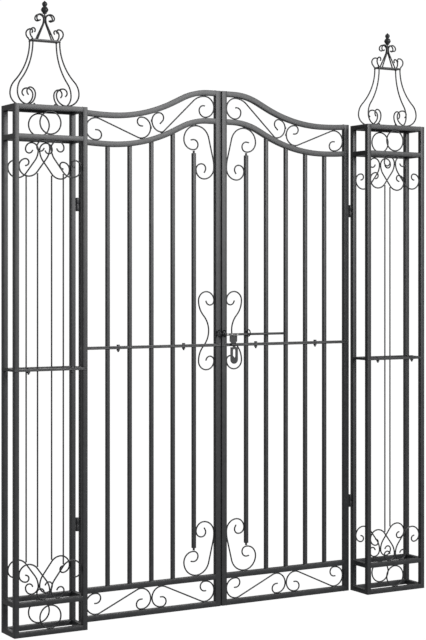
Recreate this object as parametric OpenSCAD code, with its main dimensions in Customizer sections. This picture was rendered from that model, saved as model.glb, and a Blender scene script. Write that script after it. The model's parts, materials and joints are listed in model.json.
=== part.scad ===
// A double-leaf garden gate of welded and bolted steel tube and bar.
// Two open pillars carry the leaves on lift-off hinges, and a rod slides across to lock them.
// +X is to the right seen from the front, +Y is to the back, +Z is up.
// The origin is on the ground, midway between the pillars and midway through their depth.

/* [Overall] */
// Height of the square frame of a pillar, without its finial
pillar_h = 2050; // [1950:10:2150]
// Width of a pillar across the front
pillar_w = 310; // [290:1:330]
// Depth of a pillar from front to back
pillar_d = 130; // [120:1:150]
// Width of one leaf
leaf_w = 649; // [640:1:670]
// Height of a leaf at the meeting stile
leaf_peak = 2164; // [2150:1:2174]
// Gap between a pillar and its leaf, which holds the hinges
hinge_gap = 21; // [21:1:24]
// Gap between the two leaves
centre_gap = 5; // [4:1:8]
// Gap under the leaves
floor_gap = 3; // [2:1:10]

/* [Stock] */
// Side of the square tube of the pillars
post = 20; // [18:1:22]
// Wall of the square tubes
wall = 1.5; // [1.2:0.1:2]
// Diameter of the bar that the scrolls, rings and rods are bent from
wire_d = 6; // [5:0.5:6]
// Gap left at each weld between a scroll and its neighbour
weld = 0.3; // [0.2:0.1:0.5]

/* [Pillars] */
// Clear height of the two bands that hold the rings
band_h = 95; // [90:1:100]
// Thickness of each flat bar where the halves of a pillar bolt together
flange_t = 5; // [4:1:8]
// Distance of each rod from the middle of its face
rod_x = 54.5; // [50:0.5:60]
// Distance of each flange bolt from the middle of its face
pillar_bolt_x = 92.5; // [85:0.5:95]

/* [Leaves] */
// Depth of the stiles and rails of a leaf
leaf_t = 20; // [18:1:22]
// Width of a stile
stile_w = 25; // [22:1:28]
// Height of a rail
rail_h = 22.5; // [20:0.5:25]
// Side of the square bars
bar = 15; // [12:1:16]
// Height of the band that holds the base scrolls
base_gap = 90.5; // [88:0.5:95]
// Lowest height of the curved top edge of a leaf
crest_low = 2048; // [2040:1:2056]
// Distance between the top edges of the two curved rails
crest_drop = 117; // [115:1:120]
// Height of the joint between the lower and upper half of a leaf
leaf_joint_z = 1098; // [1080:1:1120]
// Thickness of each flat bar at that joint
leaf_flange_t = 6; // [5:1:8]
// Distance of each joint bolt from the middle of a leaf
leaf_bolt_x = 151.5; // [145:0.5:155]
// Outer radius, on the centre line, of the band scrolls
lobe_r = 44.5; // [42:0.5:45]

/* [Hinges] */
// Diameter of a hinge barrel
barrel_d = 17; // [15:0.5:18]
// Diameter of a hinge pin
pin_d = 8; // [7:0.5:10]
// Radial clearance between a pin and its bore
fit = 0.05; // [0.03:0.01:0.08]
// Height of the lower barrel of each hinge, and of the upper one
knuckle_h = 25; // [20:1:30]
// Thickness of the washer between the barrels
washer_t = 4; // [2:0.5:5]
// Foot of the lower hinge of each leaf
lower_hinge_z = 370; // [300:5:450]
// Foot of the upper hinge of each leaf
upper_hinge_z = 1646; // [1560:2:1700]

/* [Latch] */
// Diameter of the sliding rod
rod_d = 10; // [8:0.5:12]
// Length of the sliding rod
rod_len = 298; // [250:1:320]
// Diameter of the bar of the guide rings
ring_wire = 5; // [4:0.5:6]
// Inner diameter of the guide rings
ring_bore = 22; // [18:1:24]
// Height of the middle of the guide rings
ring_z = 1147; // [1140:1:1160]

/* [Hidden] */

steel = "#2b2c2e";
zinc = "#8d9093";
left = -1;
right = 1;

// Overall layout
total_w = 2 * (pillar_w + hinge_gap + leaf_w) + centre_gap;
pillar_x = (total_w - pillar_w) / 2;
hinge_x = centre_gap / 2 + leaf_w + hinge_gap / 2;
leaf_y = (pillar_d - leaf_t) / 2;
off_rail = wire_d / 2 + weld; // from a flat face to the centre line of a scroll welded to it
trim = 0.01; // length left off each end of a bend, so that bends meet end to end without overlap
seam = 0.3; // length left off each end of a curved rail's bend, which a collar bridges
seam_over = 0.1; // height of that collar above the rail
rail_t = leaf_t - 2 * seam_over;
off_twin = (wire_d + weld) / 2; // from a plane of symmetry to that of a scroll welded to its twin

// Pillar
inner_w = pillar_w - 2 * post;
inner_d = pillar_d - 2 * post;
face_y = (pillar_d - post) / 2;
pillar_joint_z = pillar_h / 2;
band_top = post + band_h; // underside of the second rail from the ground
field_low = 2 * post + band_h; // top of that rail, where the long upper and lower fields start
ring_r = (band_h - 2 * weld - wire_d) / 2;

// Pillar scroll: half of it hangs from the apex that it shares with its twin
apex_curl = [[28, 90], [26, 90], [15, 150], [0, 6]];
shoulder_r = 70;
shoulder_turn = 37;
hip_r = 47;
lobe_out_r = 38.85;
stem_turn = 90 - shoulder_turn;
stem_run = (inner_w / 2 - off_rail - lobe_out_r - off_twin - shoulder_r * (1 - cos(shoulder_turn))
    - hip_r * sin(stem_turn)) / sin(shoulder_turn);
apex_z = pillar_h - field_low - off_rail - apex_curl[0][0];
hip_z = apex_z - shoulder_r * sin(shoulder_turn) - stem_run * cos(shoulder_turn)
    - hip_r * (1 - cos(stem_turn));
hip_x = inner_w / 2 - off_rail - lobe_out_r;
rod_top = hip_z + hip_r
    - sqrt(pow(hip_r + off_rail, 2) - pow(hip_x - rod_x - wire_d / 2, 2)) - weld;

// Leaf
spaces = 6; // between the upright bars
clear_w = leaf_w - 2 * stile_w;
pitch = clear_w / spaces;
mid_x = leaf_w / 2;
bottom_top = floor_gap + rail_h;
kick_z = bottom_top + base_gap;
kick_top = kick_z + rail_h;
joint_low = leaf_joint_z - leaf_flange_t;
joint_high = leaf_joint_z + leaf_flange_t;
short_x = stile_w + (spaces - 1) * pitch;
turn_in_r = base_gap - wire_d - 2 * weld - lobe_r;

// Top edge of the curved rails: a flat hollow, then an ogee that ends level
hollow_r = 1400;
sweep_r = 650;
ogee_run = 46.5;
low_x = 137;
level_len = 32;
rise = leaf_peak - crest_low;
ogee_w = leaf_w - stile_w - level_len - low_x;
radii_sum = (ogee_w * ogee_w + rise * rise - ogee_run * ogee_run) / (2 * rise);
brow_r = radii_sum - sweep_r;
ogee_turn = atan2(ogee_w, radii_sum - rise) - atan2(ogee_run, radii_sum);
hollow_turn = asin((low_x - stile_w) / hollow_r);
crest_start = crest_low + hollow_r * (1 - cos(hollow_turn));
crest_bends = [[hollow_r, hollow_turn], [sweep_r, ogee_turn], [0, ogee_run],
    [-brow_r, ogee_turn], [0, level_len]];
arch_low = crest_low - crest_drop;
brow_x = leaf_w - stile_w - level_len;
brow_z = leaf_peak - crest_drop - brow_r;
crest_turn_in_r = crest_drop - rail_h - wire_d - 2 * weld - lobe_r;

// Corner and lyre scrolls fill the space between the short bar and the meeting stile
lock_gap = pitch - bar / 2 - 2 * off_rail;
lock_k = lock_gap / 85.73;
stile_touch_x = leaf_w - stile_w - off_rail;
corner_r = 62 * lock_k;
corner_start = stile_touch_x - 25.2 * lock_k;
corner_turn = 76.4;
corner_x = corner_start - corner_r * sin(corner_turn);
corner_z = brow_z + sqrt(pow(brow_r - rail_h - corner_r - off_rail, 2) - pow(brow_x - corner_x, 2));
corner_foot_z = kick_top + off_rail + corner_r;
corner_curl = 42 * lock_k;
bar_pin_len = 8.7;
bar_pin_d = 9;
short_top = corner_z + 2 - corner_curl - off_rail - bar_pin_len - weld;
short_foot = corner_foot_z + corner_z - short_top;
lyre_z = 1159;

// Fasteners
bolt_d = 8;
hex_d = 15;
bolt_head_t = 6;
nut_t = 6.5;
thread_out = 5.5;

// Finial: each leg stands in an upright plane through the axis
cap_t = 3;
neck_x = 57;
neck_y = 16;
neck_r = norm([neck_x, neck_y]);
leg_yaw = atan2(neck_y, neck_x);
flank_r = 232;
belly_r = 72;
flank_turn = 41.5;
heel_r = 47;
leg_bends = [[-flank_r, flank_turn], [belly_r, flank_turn], [heel_r, 90], [42, 90], [25, 90],
    [17, 90], [14, 45], [0, 5]];
leg_len = off_rail + heel_r + (flank_r + belly_r) * sin(flank_turn);
foot_r = neck_r + (flank_r + belly_r) * (1 - cos(flank_turn)) - heel_r;
foot_x = foot_r * cos(leg_yaw);
foot_y = foot_r * sin(leg_yaw);
collar_z = pillar_h + leg_len + 1;
collar_over = 6.5;
collar_h = 7;
sprig_z = collar_z + collar_h;
sprig_x = 34;
sprig_y = 9;
sprig_yaw = atan2(sprig_y - off_twin, sprig_x - off_twin);
knob_z = sprig_z + 102;
peg_x = 44;

// Latch
leaf_front = leaf_y - leaf_t / 2;
ring_r_mid = (ring_bore + ring_wire) / 2;
ring_y = leaf_front - ring_r_mid - ring_wire / 2 - weld;
tip_d = rod_d + 2;
rod_z = ring_z - ring_bore / 2 + tip_d / 2 + 0.2;
rod_tip_x = centre_gap / 2 + 1.5;
keeper_x = -centre_gap / 2 - 18;
guide_x = centre_gap / 2 + 3.5;
short_bar_x = centre_gap / 2 + leaf_w - short_x;
hasp_x = 58;
hasp_w = 36;
hasp_t = 3;
hasp_y = leaf_front - 7.5;
hasp_pin_d = 5;
hasp_barrel = 11;
hasp_knuckle = 5;
hasp_span = 25;

// ---- Placement ----

// Puts children on the axis of a pillar
module at_pillar(side) {
    translate([side * pillar_x, 0, 0]) children();
}

// Repeats children on the front face of a pillar and, mirrored, on its back face
module both_faces() {
    translate([0, -face_y, 0]) children();
    mirror([0, 1, 0]) translate([0, -face_y, 0]) children();
}

// Repeats children and their mirror image left to right
module pair() {
    children();
    mirror([1, 0, 0]) children();
}

// Repeats children and their mirror image above and below height z
module above_and_below(z) {
    children();
    translate([0, 0, 2 * z]) mirror([0, 0, 1]) children();
}

// Puts children, drawn from the hinge edge of the left leaf, on either leaf
module on_leaf(side) {
    if (side == right) mirror([1, 0, 0]) on_leaf(left) children();
    else translate([-centre_gap / 2 - leaf_w, leaf_y, 0]) children();
}

// ---- Shapes ----

// A box from its low corner in X and Z, centred in depth
module slab(x, z, w, h, d) {
    translate([x, -d / 2, z]) cube([w, d, h]);
}

// An upright tube of w by d centred on the origin, with one closed end
module upright(w, d, z0, z1, open_top) {
    translate([-w / 2, -d / 2, z0]) difference() {
        cube([w, d, z1 - z0]);
        translate([wall, wall, open_top ? wall : -1])
            cube([w - 2 * wall, d - 2 * wall, z1 - z0 - wall + 1]);
    }
}

// A level tube along X from x, open at both ends and centred in depth
module level_tube(x, z, len, h, d) {
    difference() {
        slab(x, z, len, h, d);
        slab(x - 1, z + wall, len + 2, h - 2 * wall, d - 2 * wall);
    }
}

// Heading after bend b, which is [radius, turn] with a radius over 0 to the left, or [0, length]
function heading(h, b) = b[0] == 0 ? h : h + sign(b[0]) * b[1];
function arc_centre(p, h, r) = p + r * [-sin(h), cos(h)];
function end_of(p, h, b) = b[0] == 0 ? p + b[1] * [cos(h), sin(h)]
    : arc_centre(p, h, b[0]) + b[0] * [sin(heading(h, b)), -cos(heading(h, b))];

// Turns children, drawn as a sweep about Z from +X, onto the bend b that starts at p
module on_arc(p, h, b) {
    c = arc_centre(p, h, b[0]);
    translate([c[0], c[1], 0]) rotate([0, 0, b[0] > 0 ? h - 90 : h + 90 - b[1]]) children();
}

// Round bar along a list of bends in the XY plane, which meet end to end
module bent_bar(p, h, bends, i = 0) {
    if (i < len(bends)) {
        b = bends[i];
        if (b[0] == 0)
            translate([p[0], p[1], 0]) rotate([0, 90, h]) translate([0, 0, trim])
                cylinder(d = wire_d, h = b[1] - 2 * trim, $fn = 24);
        else {
            cut = trim / abs(b[0]) * 180 / PI;
            on_arc(p, h, b) rotate([0, 0, cut]) rotate_extrude(angle = b[1] - 2 * cut, $fn = 96)
                translate([abs(b[0]), 0]) circle(d = wire_d, $fn = 24);
        }
        bent_bar(end_of(p, h, b), heading(h, b), bends, i + 1);
    }
}

// A bar that stands in the XZ plane, bent along one list ahead of its start and, where there is
// one, along another behind it. Heights are the second axis.
module wire(p, h, ahead, behind = []) {
    rotate([90, 0, 0]) {
        bent_bar(p, h, ahead);
        bent_bar(p, h + 180, behind);
    }
}

// Section of a rail from n0 outwards, with its depth along the second axis. Its wall grows by
// over inwards and outwards.
module rail_section(n0, over = 0) {
    thick = wall + over;
    difference() {
        translate([n0 - over, -rail_t / 2 - over]) square([rail_h + 2 * over, rail_t + 2 * over]);
        translate([n0 + thick, thick - rail_t / 2])
            square([rail_h - 2 * thick, rail_t - 2 * thick]);
    }
}

// A tube whose top edge follows a list of bends in the XY plane, with a collar where two bends meet
module bent_rail(p, h, bends, i = 0) {
    if (i < len(bends)) {
        b = bends[i];
        start = i > 0 ? seam : 0;
        end = i < len(bends) - 1 ? seam : 0;
        if (b[0] == 0)
            translate([p[0], p[1], 0]) rotate([0, 0, h]) rotate([90, 0, 90]) translate([0, 0, start])
                linear_extrude(b[1] - start - end) rail_section(-rail_h);
        else {
            per_mm = 180 / PI / abs(b[0]);
            on_arc(p, h, b) rotate([0, 0, (b[0] > 0 ? start : end) * per_mm])
                rotate_extrude(angle = b[1] - (start + end) * per_mm, $fn = b[0] > sweep_r ? 720 : 360)
                    rail_section(b[0] > 0 ? b[0] : -b[0] - rail_h);
        }
        if (i > 0) translate([p[0], p[1], 0]) rotate([0, 0, h]) rotate([90, 0, 90])
            translate([0, 0, -3 * seam]) linear_extrude(6 * seam) rail_section(-rail_h, seam_over);
        bent_rail(end_of(p, h, b), heading(h, b), bends, i + 1);
    }
}

// The curved rail whose top edge is lowest at height z
module curved_rail(z) {
    rotate([90, 0, 0]) bent_rail([stile_w, z + crest_start - crest_low], -hollow_turn, crest_bends);
}

// The bends of a lobe from its straight, which turns through h, to its curl
function lobe_bends(lobe, h) = concat(lobe[1] == lobe[2] ? [[lobe[1], h + 90]]
    : [[lobe[2], h], [lobe[1], 90]], lobe[3]);

// An S from lobe a to lobe b. It turns left round a if turn is 1 and right if it is -1. A lobe is
// [centre, radius, radius where it meets the straight, bends of the curl inside it].
module s_scroll(a, b, turn) {
    ra = a[2];
    rb = b[2];
    ca = a[0] - turn * [0, a[1] - ra];
    cb = b[0] + turn * [0, b[1] - rb];
    run = sqrt(pow(norm(cb - ca), 2) - pow(ra + rb, 2));
    h = atan2(cb[1] - ca[1], cb[0] - ca[0]) + turn * atan2(ra + rb, run);
    start = ca - turn * ra * [-sin(h), cos(h)];
    wire(start, h, concat([[0, run]], flipped(lobe_bends(b, turn * h), turn)),
        flipped(lobe_bends(a, turn * h), turn));
}

// The same bends with their hand multiplied by -turn
function flipped(bends, turn = 1) = [for (b = bends) [-turn * b[0], b[1]]];

// A bolt with its head on the plane z = 0 and its shank hanging through grip millimetres
module hex_bolt(grip) {
    cylinder(d = hex_d, h = bolt_head_t, $fn = 6);
    translate([0, 0, -grip - nut_t - thread_out])
        cylinder(d = bolt_d, h = grip + nut_t + thread_out + 1, $fn = 48);
}

// The nut of that bolt, under the plane z = 0
module hex_nut() {
    difference() {
        translate([0, 0, -nut_t]) cylinder(d = hex_d, h = nut_t, $fn = 6);
        translate([0, 0, -nut_t - 1]) cylinder(d = bolt_d + 2 * fit, h = nut_t + 2, $fn = 48);
    }
}

// ---- Pillars ----

module pillar_posts(side) {
    color(steel) at_pillar(side) for (x = [-1, 1], y = [-1, 1])
        translate([x * (pillar_w - post) / 2, y * face_y, 0]) {
            upright(post, post, 0, pillar_joint_z - flange_t, true);
            upright(post, post, pillar_joint_z + flange_t, pillar_h, false);
        }
}

// The four tubes that close a pillar at height z
module rail_ring(z) {
    both_faces() level_tube(-inner_w / 2, z, inner_w, post, post);
    pair() translate([(pillar_w - post) / 2, 0, 0]) rotate([0, 0, 90])
        level_tube(-inner_d / 2, z, inner_d, post, post);
}

module pillar_upper_rails(side) {
    color(steel) at_pillar(side) {
        rail_ring(pillar_h - post);
        rail_ring(pillar_h - field_low);
    }
}

module pillar_lower_rails(side) {
    color(steel) at_pillar(side) {
        rail_ring(0);
        rail_ring(band_top);
    }
}

// Places children at every flange bolt of a pillar, in the front bar of the flange
module at_pillar_bolts(side) {
    at_pillar(side) for (x = [-1, 1]) translate([x * pillar_bolt_x, -face_y, 0]) children();
}

module pillar_flanges(side) {
    color(steel) difference() {
        at_pillar(side) for (z = [pillar_joint_z - flange_t, pillar_joint_z]) difference() {
            slab(-pillar_w / 2, z, pillar_w, flange_t, pillar_d);
            slab(-inner_w / 2, z - 1, inner_w, flange_t + 2, inner_d);
        }
        at_pillar_bolts(side) translate([0, 0, pillar_joint_z - flange_t - 1])
            cylinder(d = bolt_d + 1, h = 2 * flange_t + 2, $fn = 48);
    }
}

module pillar_rings(side) {
    color(steel) at_pillar(side) both_faces() above_and_below(pillar_joint_z)
        translate([0, 0, post + band_h / 2]) rotate([90, 0, 0]) rotate_extrude($fn = 120)
            translate([ring_r, 0]) circle(d = wire_d, $fn = 24);
}

// The upper left scroll of a face
module pillar_scroll() {
    wire([-off_twin, apex_z], 90, apex_curl, [[-shoulder_r, shoulder_turn], [0, stem_run],
        [-hip_r, stem_turn], [-lobe_out_r, 90], [-28, 90], [-13, 165], [0, 6]]);
}

module pillar_upper_scrolls(side) {
    color(steel) at_pillar(side) both_faces() pair() pillar_scroll();
}

module pillar_lower_scrolls(side) {
    color(steel) at_pillar(side) both_faces() pair()
        translate([0, 0, pillar_h]) mirror([0, 0, 1]) pillar_scroll();
}

module pillar_rods(side) {
    z0 = pillar_joint_z + flange_t;
    color(steel) at_pillar(side) both_faces() pair() above_and_below(pillar_joint_z)
        translate([rod_x, 0, z0]) cylinder(d = wire_d, h = rod_top - z0, $fn = 48);
}

module pillar_bolts() {
    color(zinc) for (side = [left, right]) {
        at_pillar_bolts(side) translate([0, 0, pillar_joint_z + flange_t]) hex_bolt(2 * flange_t);
        at_pegs(side) translate([0, 0, pillar_h - 2 * cap_t]) mirror([0, 0, 1]) hex_bolt(2 * cap_t);
    }
}

module pillar_nuts() {
    color(zinc) for (side = [left, right]) {
        at_pillar_bolts(side) translate([0, 0, pillar_joint_z - flange_t]) hex_nut();
        at_pegs(side) translate([0, 0, pillar_h]) mirror([0, 0, 1]) hex_nut();
    }
}

// ---- Finials ----

// Places children at the two bolts that hold a finial down
module at_pegs(side) {
    at_pillar(side) for (x = [-1, 1]) translate([x * peg_x, 0, 0]) children();
}

// The plate that closes a pillar, and the H of flat bar that the finial stands on
module finial_cap(side) {
    low = pillar_h - 2 * cap_t;
    h_bar = 24;
    color(steel) difference() {
        at_pillar(side) {
            slab(-inner_w / 2, low, inner_w, cap_t, inner_d);
            slab(-foot_x, low + cap_t, 2 * foot_x, cap_t, h_bar);
            pair() slab(foot_x - h_bar / 2, low + cap_t, h_bar, cap_t, 2 * foot_y + 24);
        }
        at_pegs(side) translate([0, 0, low - 1]) cylinder(d = bolt_d + 1, h = 2 * cap_t + 2, $fn = 48);
    }
}

// Repeats children, drawn for the left front quarter, in all four
module quarters(side) {
    at_pillar(side) pair() for (y = [0, 1]) mirror([0, y, 0]) children();
}

// Four legs that swell from the neck to the foot and curl in
module finial_scrolls(side) {
    color(steel) quarters(side) translate([0, 0, pillar_h]) rotate([0, 0, leg_yaw])
        wire([-neck_r, leg_len], -90, leg_bends);
}

// The plate that the legs end under and the sprigs stand on, one to a finial
module finial_collars() {
    w = 2 * neck_x + collar_over;
    color(steel) for (side = [left, right]) at_pillar(side)
        slab(-w / 2, collar_z, w, collar_h, 2 * neck_y + collar_over);
}

// Four curls that roll outwards from the collar, and four sprigs that lean in to hold the knob
module finial_sprigs(side) {
    color(steel) quarters(side) {
        translate([0, 0, sprig_z]) rotate([0, 0, leg_yaw])
            wire([-neck_r - 2, 3.2], 150, [[-24, 60], [-18, 90], [-8, 90], [-8, 60]]);
        translate([-sprig_x, -sprig_y, sprig_z]) rotate([0, 0, sprig_yaw])
            wire([0, 1.7], 65, [[0, 61], [58, 25], [18, 90], [16.5, 90], [9, 90], [9, 60]]);
    }
}

// Turned knobs, one to a finial: a stalk, a disc, a ridged ball, a neck, a smaller ball and its tip
module finial_knobs() {
    $fn = 72;
    color(steel) for (side = [left, right]) at_pillar(side) translate([0, 0, knob_z]) {
        translate([0, 0, -12]) cylinder(r = 3, h = 13);
        cylinder(r = 8, h = 4);
        translate([0, 0, 16]) sphere(r = 14);
        translate([0, 0, 14.5]) cylinder(r = 15, h = 3);
        translate([0, 0, 24]) cylinder(r = 8, h = 10);
        translate([0, 0, 38.5]) sphere(r = 10.5);
        translate([0, 0, 48.5]) sphere(r = 3);
    }
}

// ---- Hinges ----

// Places children on the axis of every hinge of one side, with +X towards the leaf
module at_hinges(side) {
    for (z = [lower_hinge_z, upper_hinge_z]) mirror([side == right ? 1 : 0, 0, 0])
        translate([-hinge_x, leaf_y, z]) children();
}

// The tab that welds a barrel to the steel beside it
module hinge_tab(z, h, towards) {
    w = hinge_gap / 2 - barrel_d / 2 + 2;
    translate([towards > 0 ? hinge_gap / 2 - w : -hinge_gap / 2, -4, z]) cube([w, 8, h]);
}

module hinge_pintles() {
    color(steel) for (side = [left, right]) at_hinges(side) {
        cylinder(d = barrel_d, h = knuckle_h, $fn = 72);
        cylinder(d = pin_d, h = 2 * knuckle_h + washer_t - 4, $fn = 72);
        hinge_tab(0, knuckle_h, -1);
    }
}

module hinge_washers() {
    color(zinc) for (side = [left, right]) at_hinges(side) translate([0, 0, knuckle_h])
        difference() {
            cylinder(d = barrel_d - 2, h = washer_t, $fn = 72);
            translate([0, 0, -1]) cylinder(d = pin_d + 2 * fit, h = washer_t + 2, $fn = 72);
        }
}

module hinge_knuckles(side) {
    z = knuckle_h + washer_t;
    color(steel) at_hinges(side) difference() {
        union() {
            translate([0, 0, z]) cylinder(d = barrel_d, h = knuckle_h, $fn = 72);
            hinge_tab(z, knuckle_h, 1);
        }
        translate([0, 0, z - 1]) cylinder(d = pin_d + 2 * fit, h = knuckle_h - 2, $fn = 72);
    }
}

// ---- Leaves ----

module stile(x, top) {
    translate([x + stile_w / 2, 0, 0]) {
        upright(stile_w, leaf_t, floor_gap, joint_low, true);
        upright(stile_w, leaf_t, joint_high, top, false);
    }
}

module hinge_stile(side) {
    color(steel) on_leaf(side) stile(0, crest_start);
}

module meeting_stile(side) {
    color(steel) on_leaf(side) stile(leaf_w - stile_w, leaf_peak);
}

// The curved rails, cut flush with the hinge stile
module crest_rails(side) {
    color(steel) on_leaf(side) difference() {
        union() {
            curved_rail(crest_low);
            curved_rail(arch_low);
        }
        slab(0, 0, stile_w, 2 * leaf_peak, 2 * leaf_t);
    }
}

module lower_rails(side) {
    color(steel) on_leaf(side) for (z = [floor_gap, kick_z])
        level_tube(stile_w, z, clear_w, rail_h, leaf_t);
}

// A square tube between two heights, open at both ends
module bar_tube(x, z0, z1) {
    difference() {
        slab(x - bar / 2, z0, bar, z1 - z0, bar);
        slab(x - bar / 2 + wall, z0 - 1, bar - 2 * wall, z1 - z0 + 2, bar - 2 * wall);
    }
}

module leaf_bars(side) {
    color(steel) on_leaf(side) {
        for (i = [1:spaces - 2]) {
            x = stile_w + i * pitch;
            r = x < low_x ? hollow_r : sweep_r;
            bar_tube(x, kick_top, joint_low);
            difference() {
                bar_tube(x, joint_high, leaf_peak);
                translate([low_x, leaf_t, arch_low + r]) rotate([90, 0, 0])
                    cylinder(r = r + rail_h + weld, h = 2 * leaf_t, $fn = 720);
            }
        }
        short_bar(joint_high, short_top, short_top - wall);
        short_bar(short_foot, joint_low, short_foot - bar_pin_len);
    }
}

// Half of the short bar beside the meeting stile, with a round pin at the end near pin_z
module short_bar(z0, z1, pin_z) {
    bar_tube(short_x, z0, z1);
    translate([short_x, 0, pin_z]) cylinder(d = bar_pin_d, h = bar_pin_len + wall, $fn = 48);
    slab(short_x - bar / 2 + wall / 2, pin_z > z0 ? z1 - wall : z0, bar - wall, wall, bar - wall);
}

module at_leaf_bolts(side) {
    on_leaf(side) for (x = [-1, 1]) translate([mid_x + x * leaf_bolt_x, 0, 0]) children();
}

module leaf_flanges(side) {
    color(steel) difference() {
        on_leaf(side) for (z = [joint_low, leaf_joint_z]) slab(0, z, leaf_w, leaf_flange_t, leaf_t);
        at_leaf_bolts(side) translate([0, 0, joint_low - 1])
            cylinder(d = bolt_d + 1, h = 2 * leaf_flange_t + 2, $fn = 48);
    }
}

module leaf_bolts(side) {
    color(zinc) at_leaf_bolts(side) translate([0, 0, joint_high]) hex_bolt(2 * leaf_flange_t);
}

module leaf_nuts(side) {
    color(zinc) at_leaf_bolts(side) translate([0, 0, joint_low]) hex_nut();
}

// ---- Scrolls of a leaf ----

// Height of a circle of radius r, on its centre line, that stands on the lower curved rail at x
function on_arch(x, r) = arch_low + sweep_r - sqrt(pow(sweep_r - r - off_rail, 2) - pow(x - low_x, 2));
// Height of a circle of radius r, on its centre line, that hangs under the upper curved rail at x
function under_crest(x, r) =
    crest_low + hollow_r - sqrt(pow(hollow_r + rail_h + r + off_rail, 2) - pow(x - low_x, 2));

// Height of the middle of a lobe that hangs under the brow of the upper curved rail at x
function under_brow(x, r) = leaf_peak - brow_r
    + sqrt(pow(brow_r - rail_h - r - off_rail, 2) - pow(brow_x - x, 2));

module crest_scrolls(side) {
    r = lobe_r;
    ax = stile_w + off_rail + r;
    bx = mid_x - off_twin - r;
    cx = mid_x + off_twin + r;
    dx = stile_touch_x - r;
    c_stem = 16;
    d_stem = 78;
    color(steel) on_leaf(side) {
        s_scroll(
            [[ax, under_crest(ax, r)], r, r, [[crest_turn_in_r, 90], [0, 6], [20, 180], [0, 8]]],
            [[bx, on_arch(bx, r)], r, r, [[41, 90], [0, 2], [18, 180], [0, 8]]], -1);
        s_scroll(
            [[cx, on_arch(cx, c_stem) + r - c_stem], r, c_stem, [[34, 90], [20, 135], [0, 16]]],
            [[dx, under_brow(dx, d_stem) + d_stem - r], r, d_stem, [[42.6, 90], [28, 90],
            [20, 100], [0, 4]]], 1);
    }
}

module base_scrolls(side) {
    r = lobe_r;
    curl = [[turn_in_r, 90], [0, 6], [20, 180], [0, 8]];
    color(steel) on_leaf(side) translate([mid_x, 0, 0]) pair()
        s_scroll([[r + off_rail - clear_w / 2, bottom_top + off_rail + r], r, r, curl],
            [[-off_twin - r, kick_z - off_rail - r], r, r, curl], 1);
}

// The upper corner scroll: one end rolls over the short bar, the other hangs beside the stile
module corner_scroll() {
    k = lock_k;
    start = [corner_start, corner_z + corner_r * cos(corner_turn)];
    wire(start, 180 - corner_turn,
        [[corner_r, corner_turn], [58 * k, 90], [corner_curl, 90], [0, 4], [21 * k, 190], [0, 10]],
        [[0, 89 * k], [-150 * k, 90 - corner_turn], [0, 3], [-48 * k, 90], [-37.5 * k, 90],
        [-25 * k, 90], [0, 2], [-19 * k, 120], [0, 10]]);
}

module corner_scrolls(side) {
    color(steel) on_leaf(side) above_and_below((corner_z + corner_foot_z) / 2) corner_scroll();
}

// The lyre against the meeting stile, the same above and below its waist, cut at the leaf's joint
module lyre_scroll(side) {
    k = lock_k;
    bends = [[94 * k, 42.1], [-94 * k, 42.1], [-37 * k, 180], [-19 * k, 160], [0, 6]];
    color(steel) on_leaf(side) difference() {
        wire([stile_touch_x - 25.2 * k, lyre_z], 90, bends, flipped(bends));
        slab(short_x, joint_low - weld, 2 * pitch, 2 * (leaf_flange_t + weld), leaf_t);
    }
}

// ---- Latch ----

// A ring that the rod slides through, on a pad that reaches back to depth y
module bolt_ring(x, y) {
    translate([x, ring_y, ring_z]) rotate([0, 90, 0]) rotate_extrude($fn = 96)
        translate([ring_r_mid, 0]) circle(d = ring_wire, $fn = 24);
    translate([x - 2, ring_y + ring_r_mid, ring_z - 5]) cube([4, y - ring_y - ring_r_mid, 10]);
}

module bolt_keeper() {
    color(steel) bolt_ring(keeper_x, leaf_front);
}

module bolt_guides() {
    color(steel) {
        bolt_ring(guide_x, leaf_front);
        bolt_ring(short_bar_x - 3.5, leaf_y - bar / 2);
    }
}

// The rod with its upset tip, drawn back clear of the left leaf
module slide_bolt() {
    color(steel) translate([rod_tip_x, ring_y, rod_z]) rotate([0, 90, 0]) {
        cylinder(d = rod_d, h = rod_len, $fn = 72);
        cylinder(d = tip_d, h = 6, $fn = 72);
    }
}

// Lays children, drawn in plan with +Y up, into the plane of a hasp plate whose front is at y
module hasp_plane(y) {
    translate([hasp_x, y + hasp_t, 0]) rotate([90, 0, 0]) linear_extrude(hasp_t) children();
}

// A barrel round the hasp's pin, from x, with its surface moved out by over
module hasp_knuckle_at(x, w, over = 0) {
    translate([hasp_x + x, hasp_y, leaf_joint_z]) rotate([0, 90, 0])
        cylinder(d = hasp_barrel + 2 * over, h = w, $fn = 72);
}

module hasp_bore() {
    translate([hasp_x - hasp_w, hasp_y, leaf_joint_z]) rotate([0, 90, 0])
        cylinder(d = hasp_pin_d + 2 * fit, h = 2 * hasp_w, $fn = 72);
}

module hasp_bracket() {
    corner = 8;
    plate_low = joint_high + 4;
    plate_top = plate_low + 28;
    color(steel) difference() {
        union() {
            hasp_plane(leaf_front - hasp_t) {
                translate([-hasp_w / 2, plate_low + corner]) square([hasp_w, 28 - corner]);
                translate([corner - hasp_w / 2, plate_low]) square([hasp_w - 2 * corner, 28]);
                for (x = [-1, 1]) translate([x * (hasp_w / 2 - corner), plate_low + corner])
                    circle(r = corner, $fn = 48);
                translate([-hasp_span / 2, joint_low]) square([hasp_span, plate_top - joint_low]);
            }
            hasp_knuckle_at(-hasp_span / 2, hasp_knuckle);
            hasp_knuckle_at(hasp_span / 2 - hasp_knuckle, hasp_knuckle);
        }
        hasp_knuckle_at(hasp_knuckle - hasp_span / 2, hasp_span - 2 * hasp_knuckle, weld);
        hasp_bore();
    }
}

module hasp_pin() {
    len = hasp_span + 3;
    color(zinc) translate([hasp_x - len / 2, hasp_y, leaf_joint_z]) rotate([0, 90, 0]) {
        cylinder(d = hasp_pin_d, h = len, $fn = 72);
        for (x = [0, len - 1]) translate([0, 0, x]) cylinder(d = hasp_pin_d + 3, h = 1, $fn = 48);
    }
}

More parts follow.
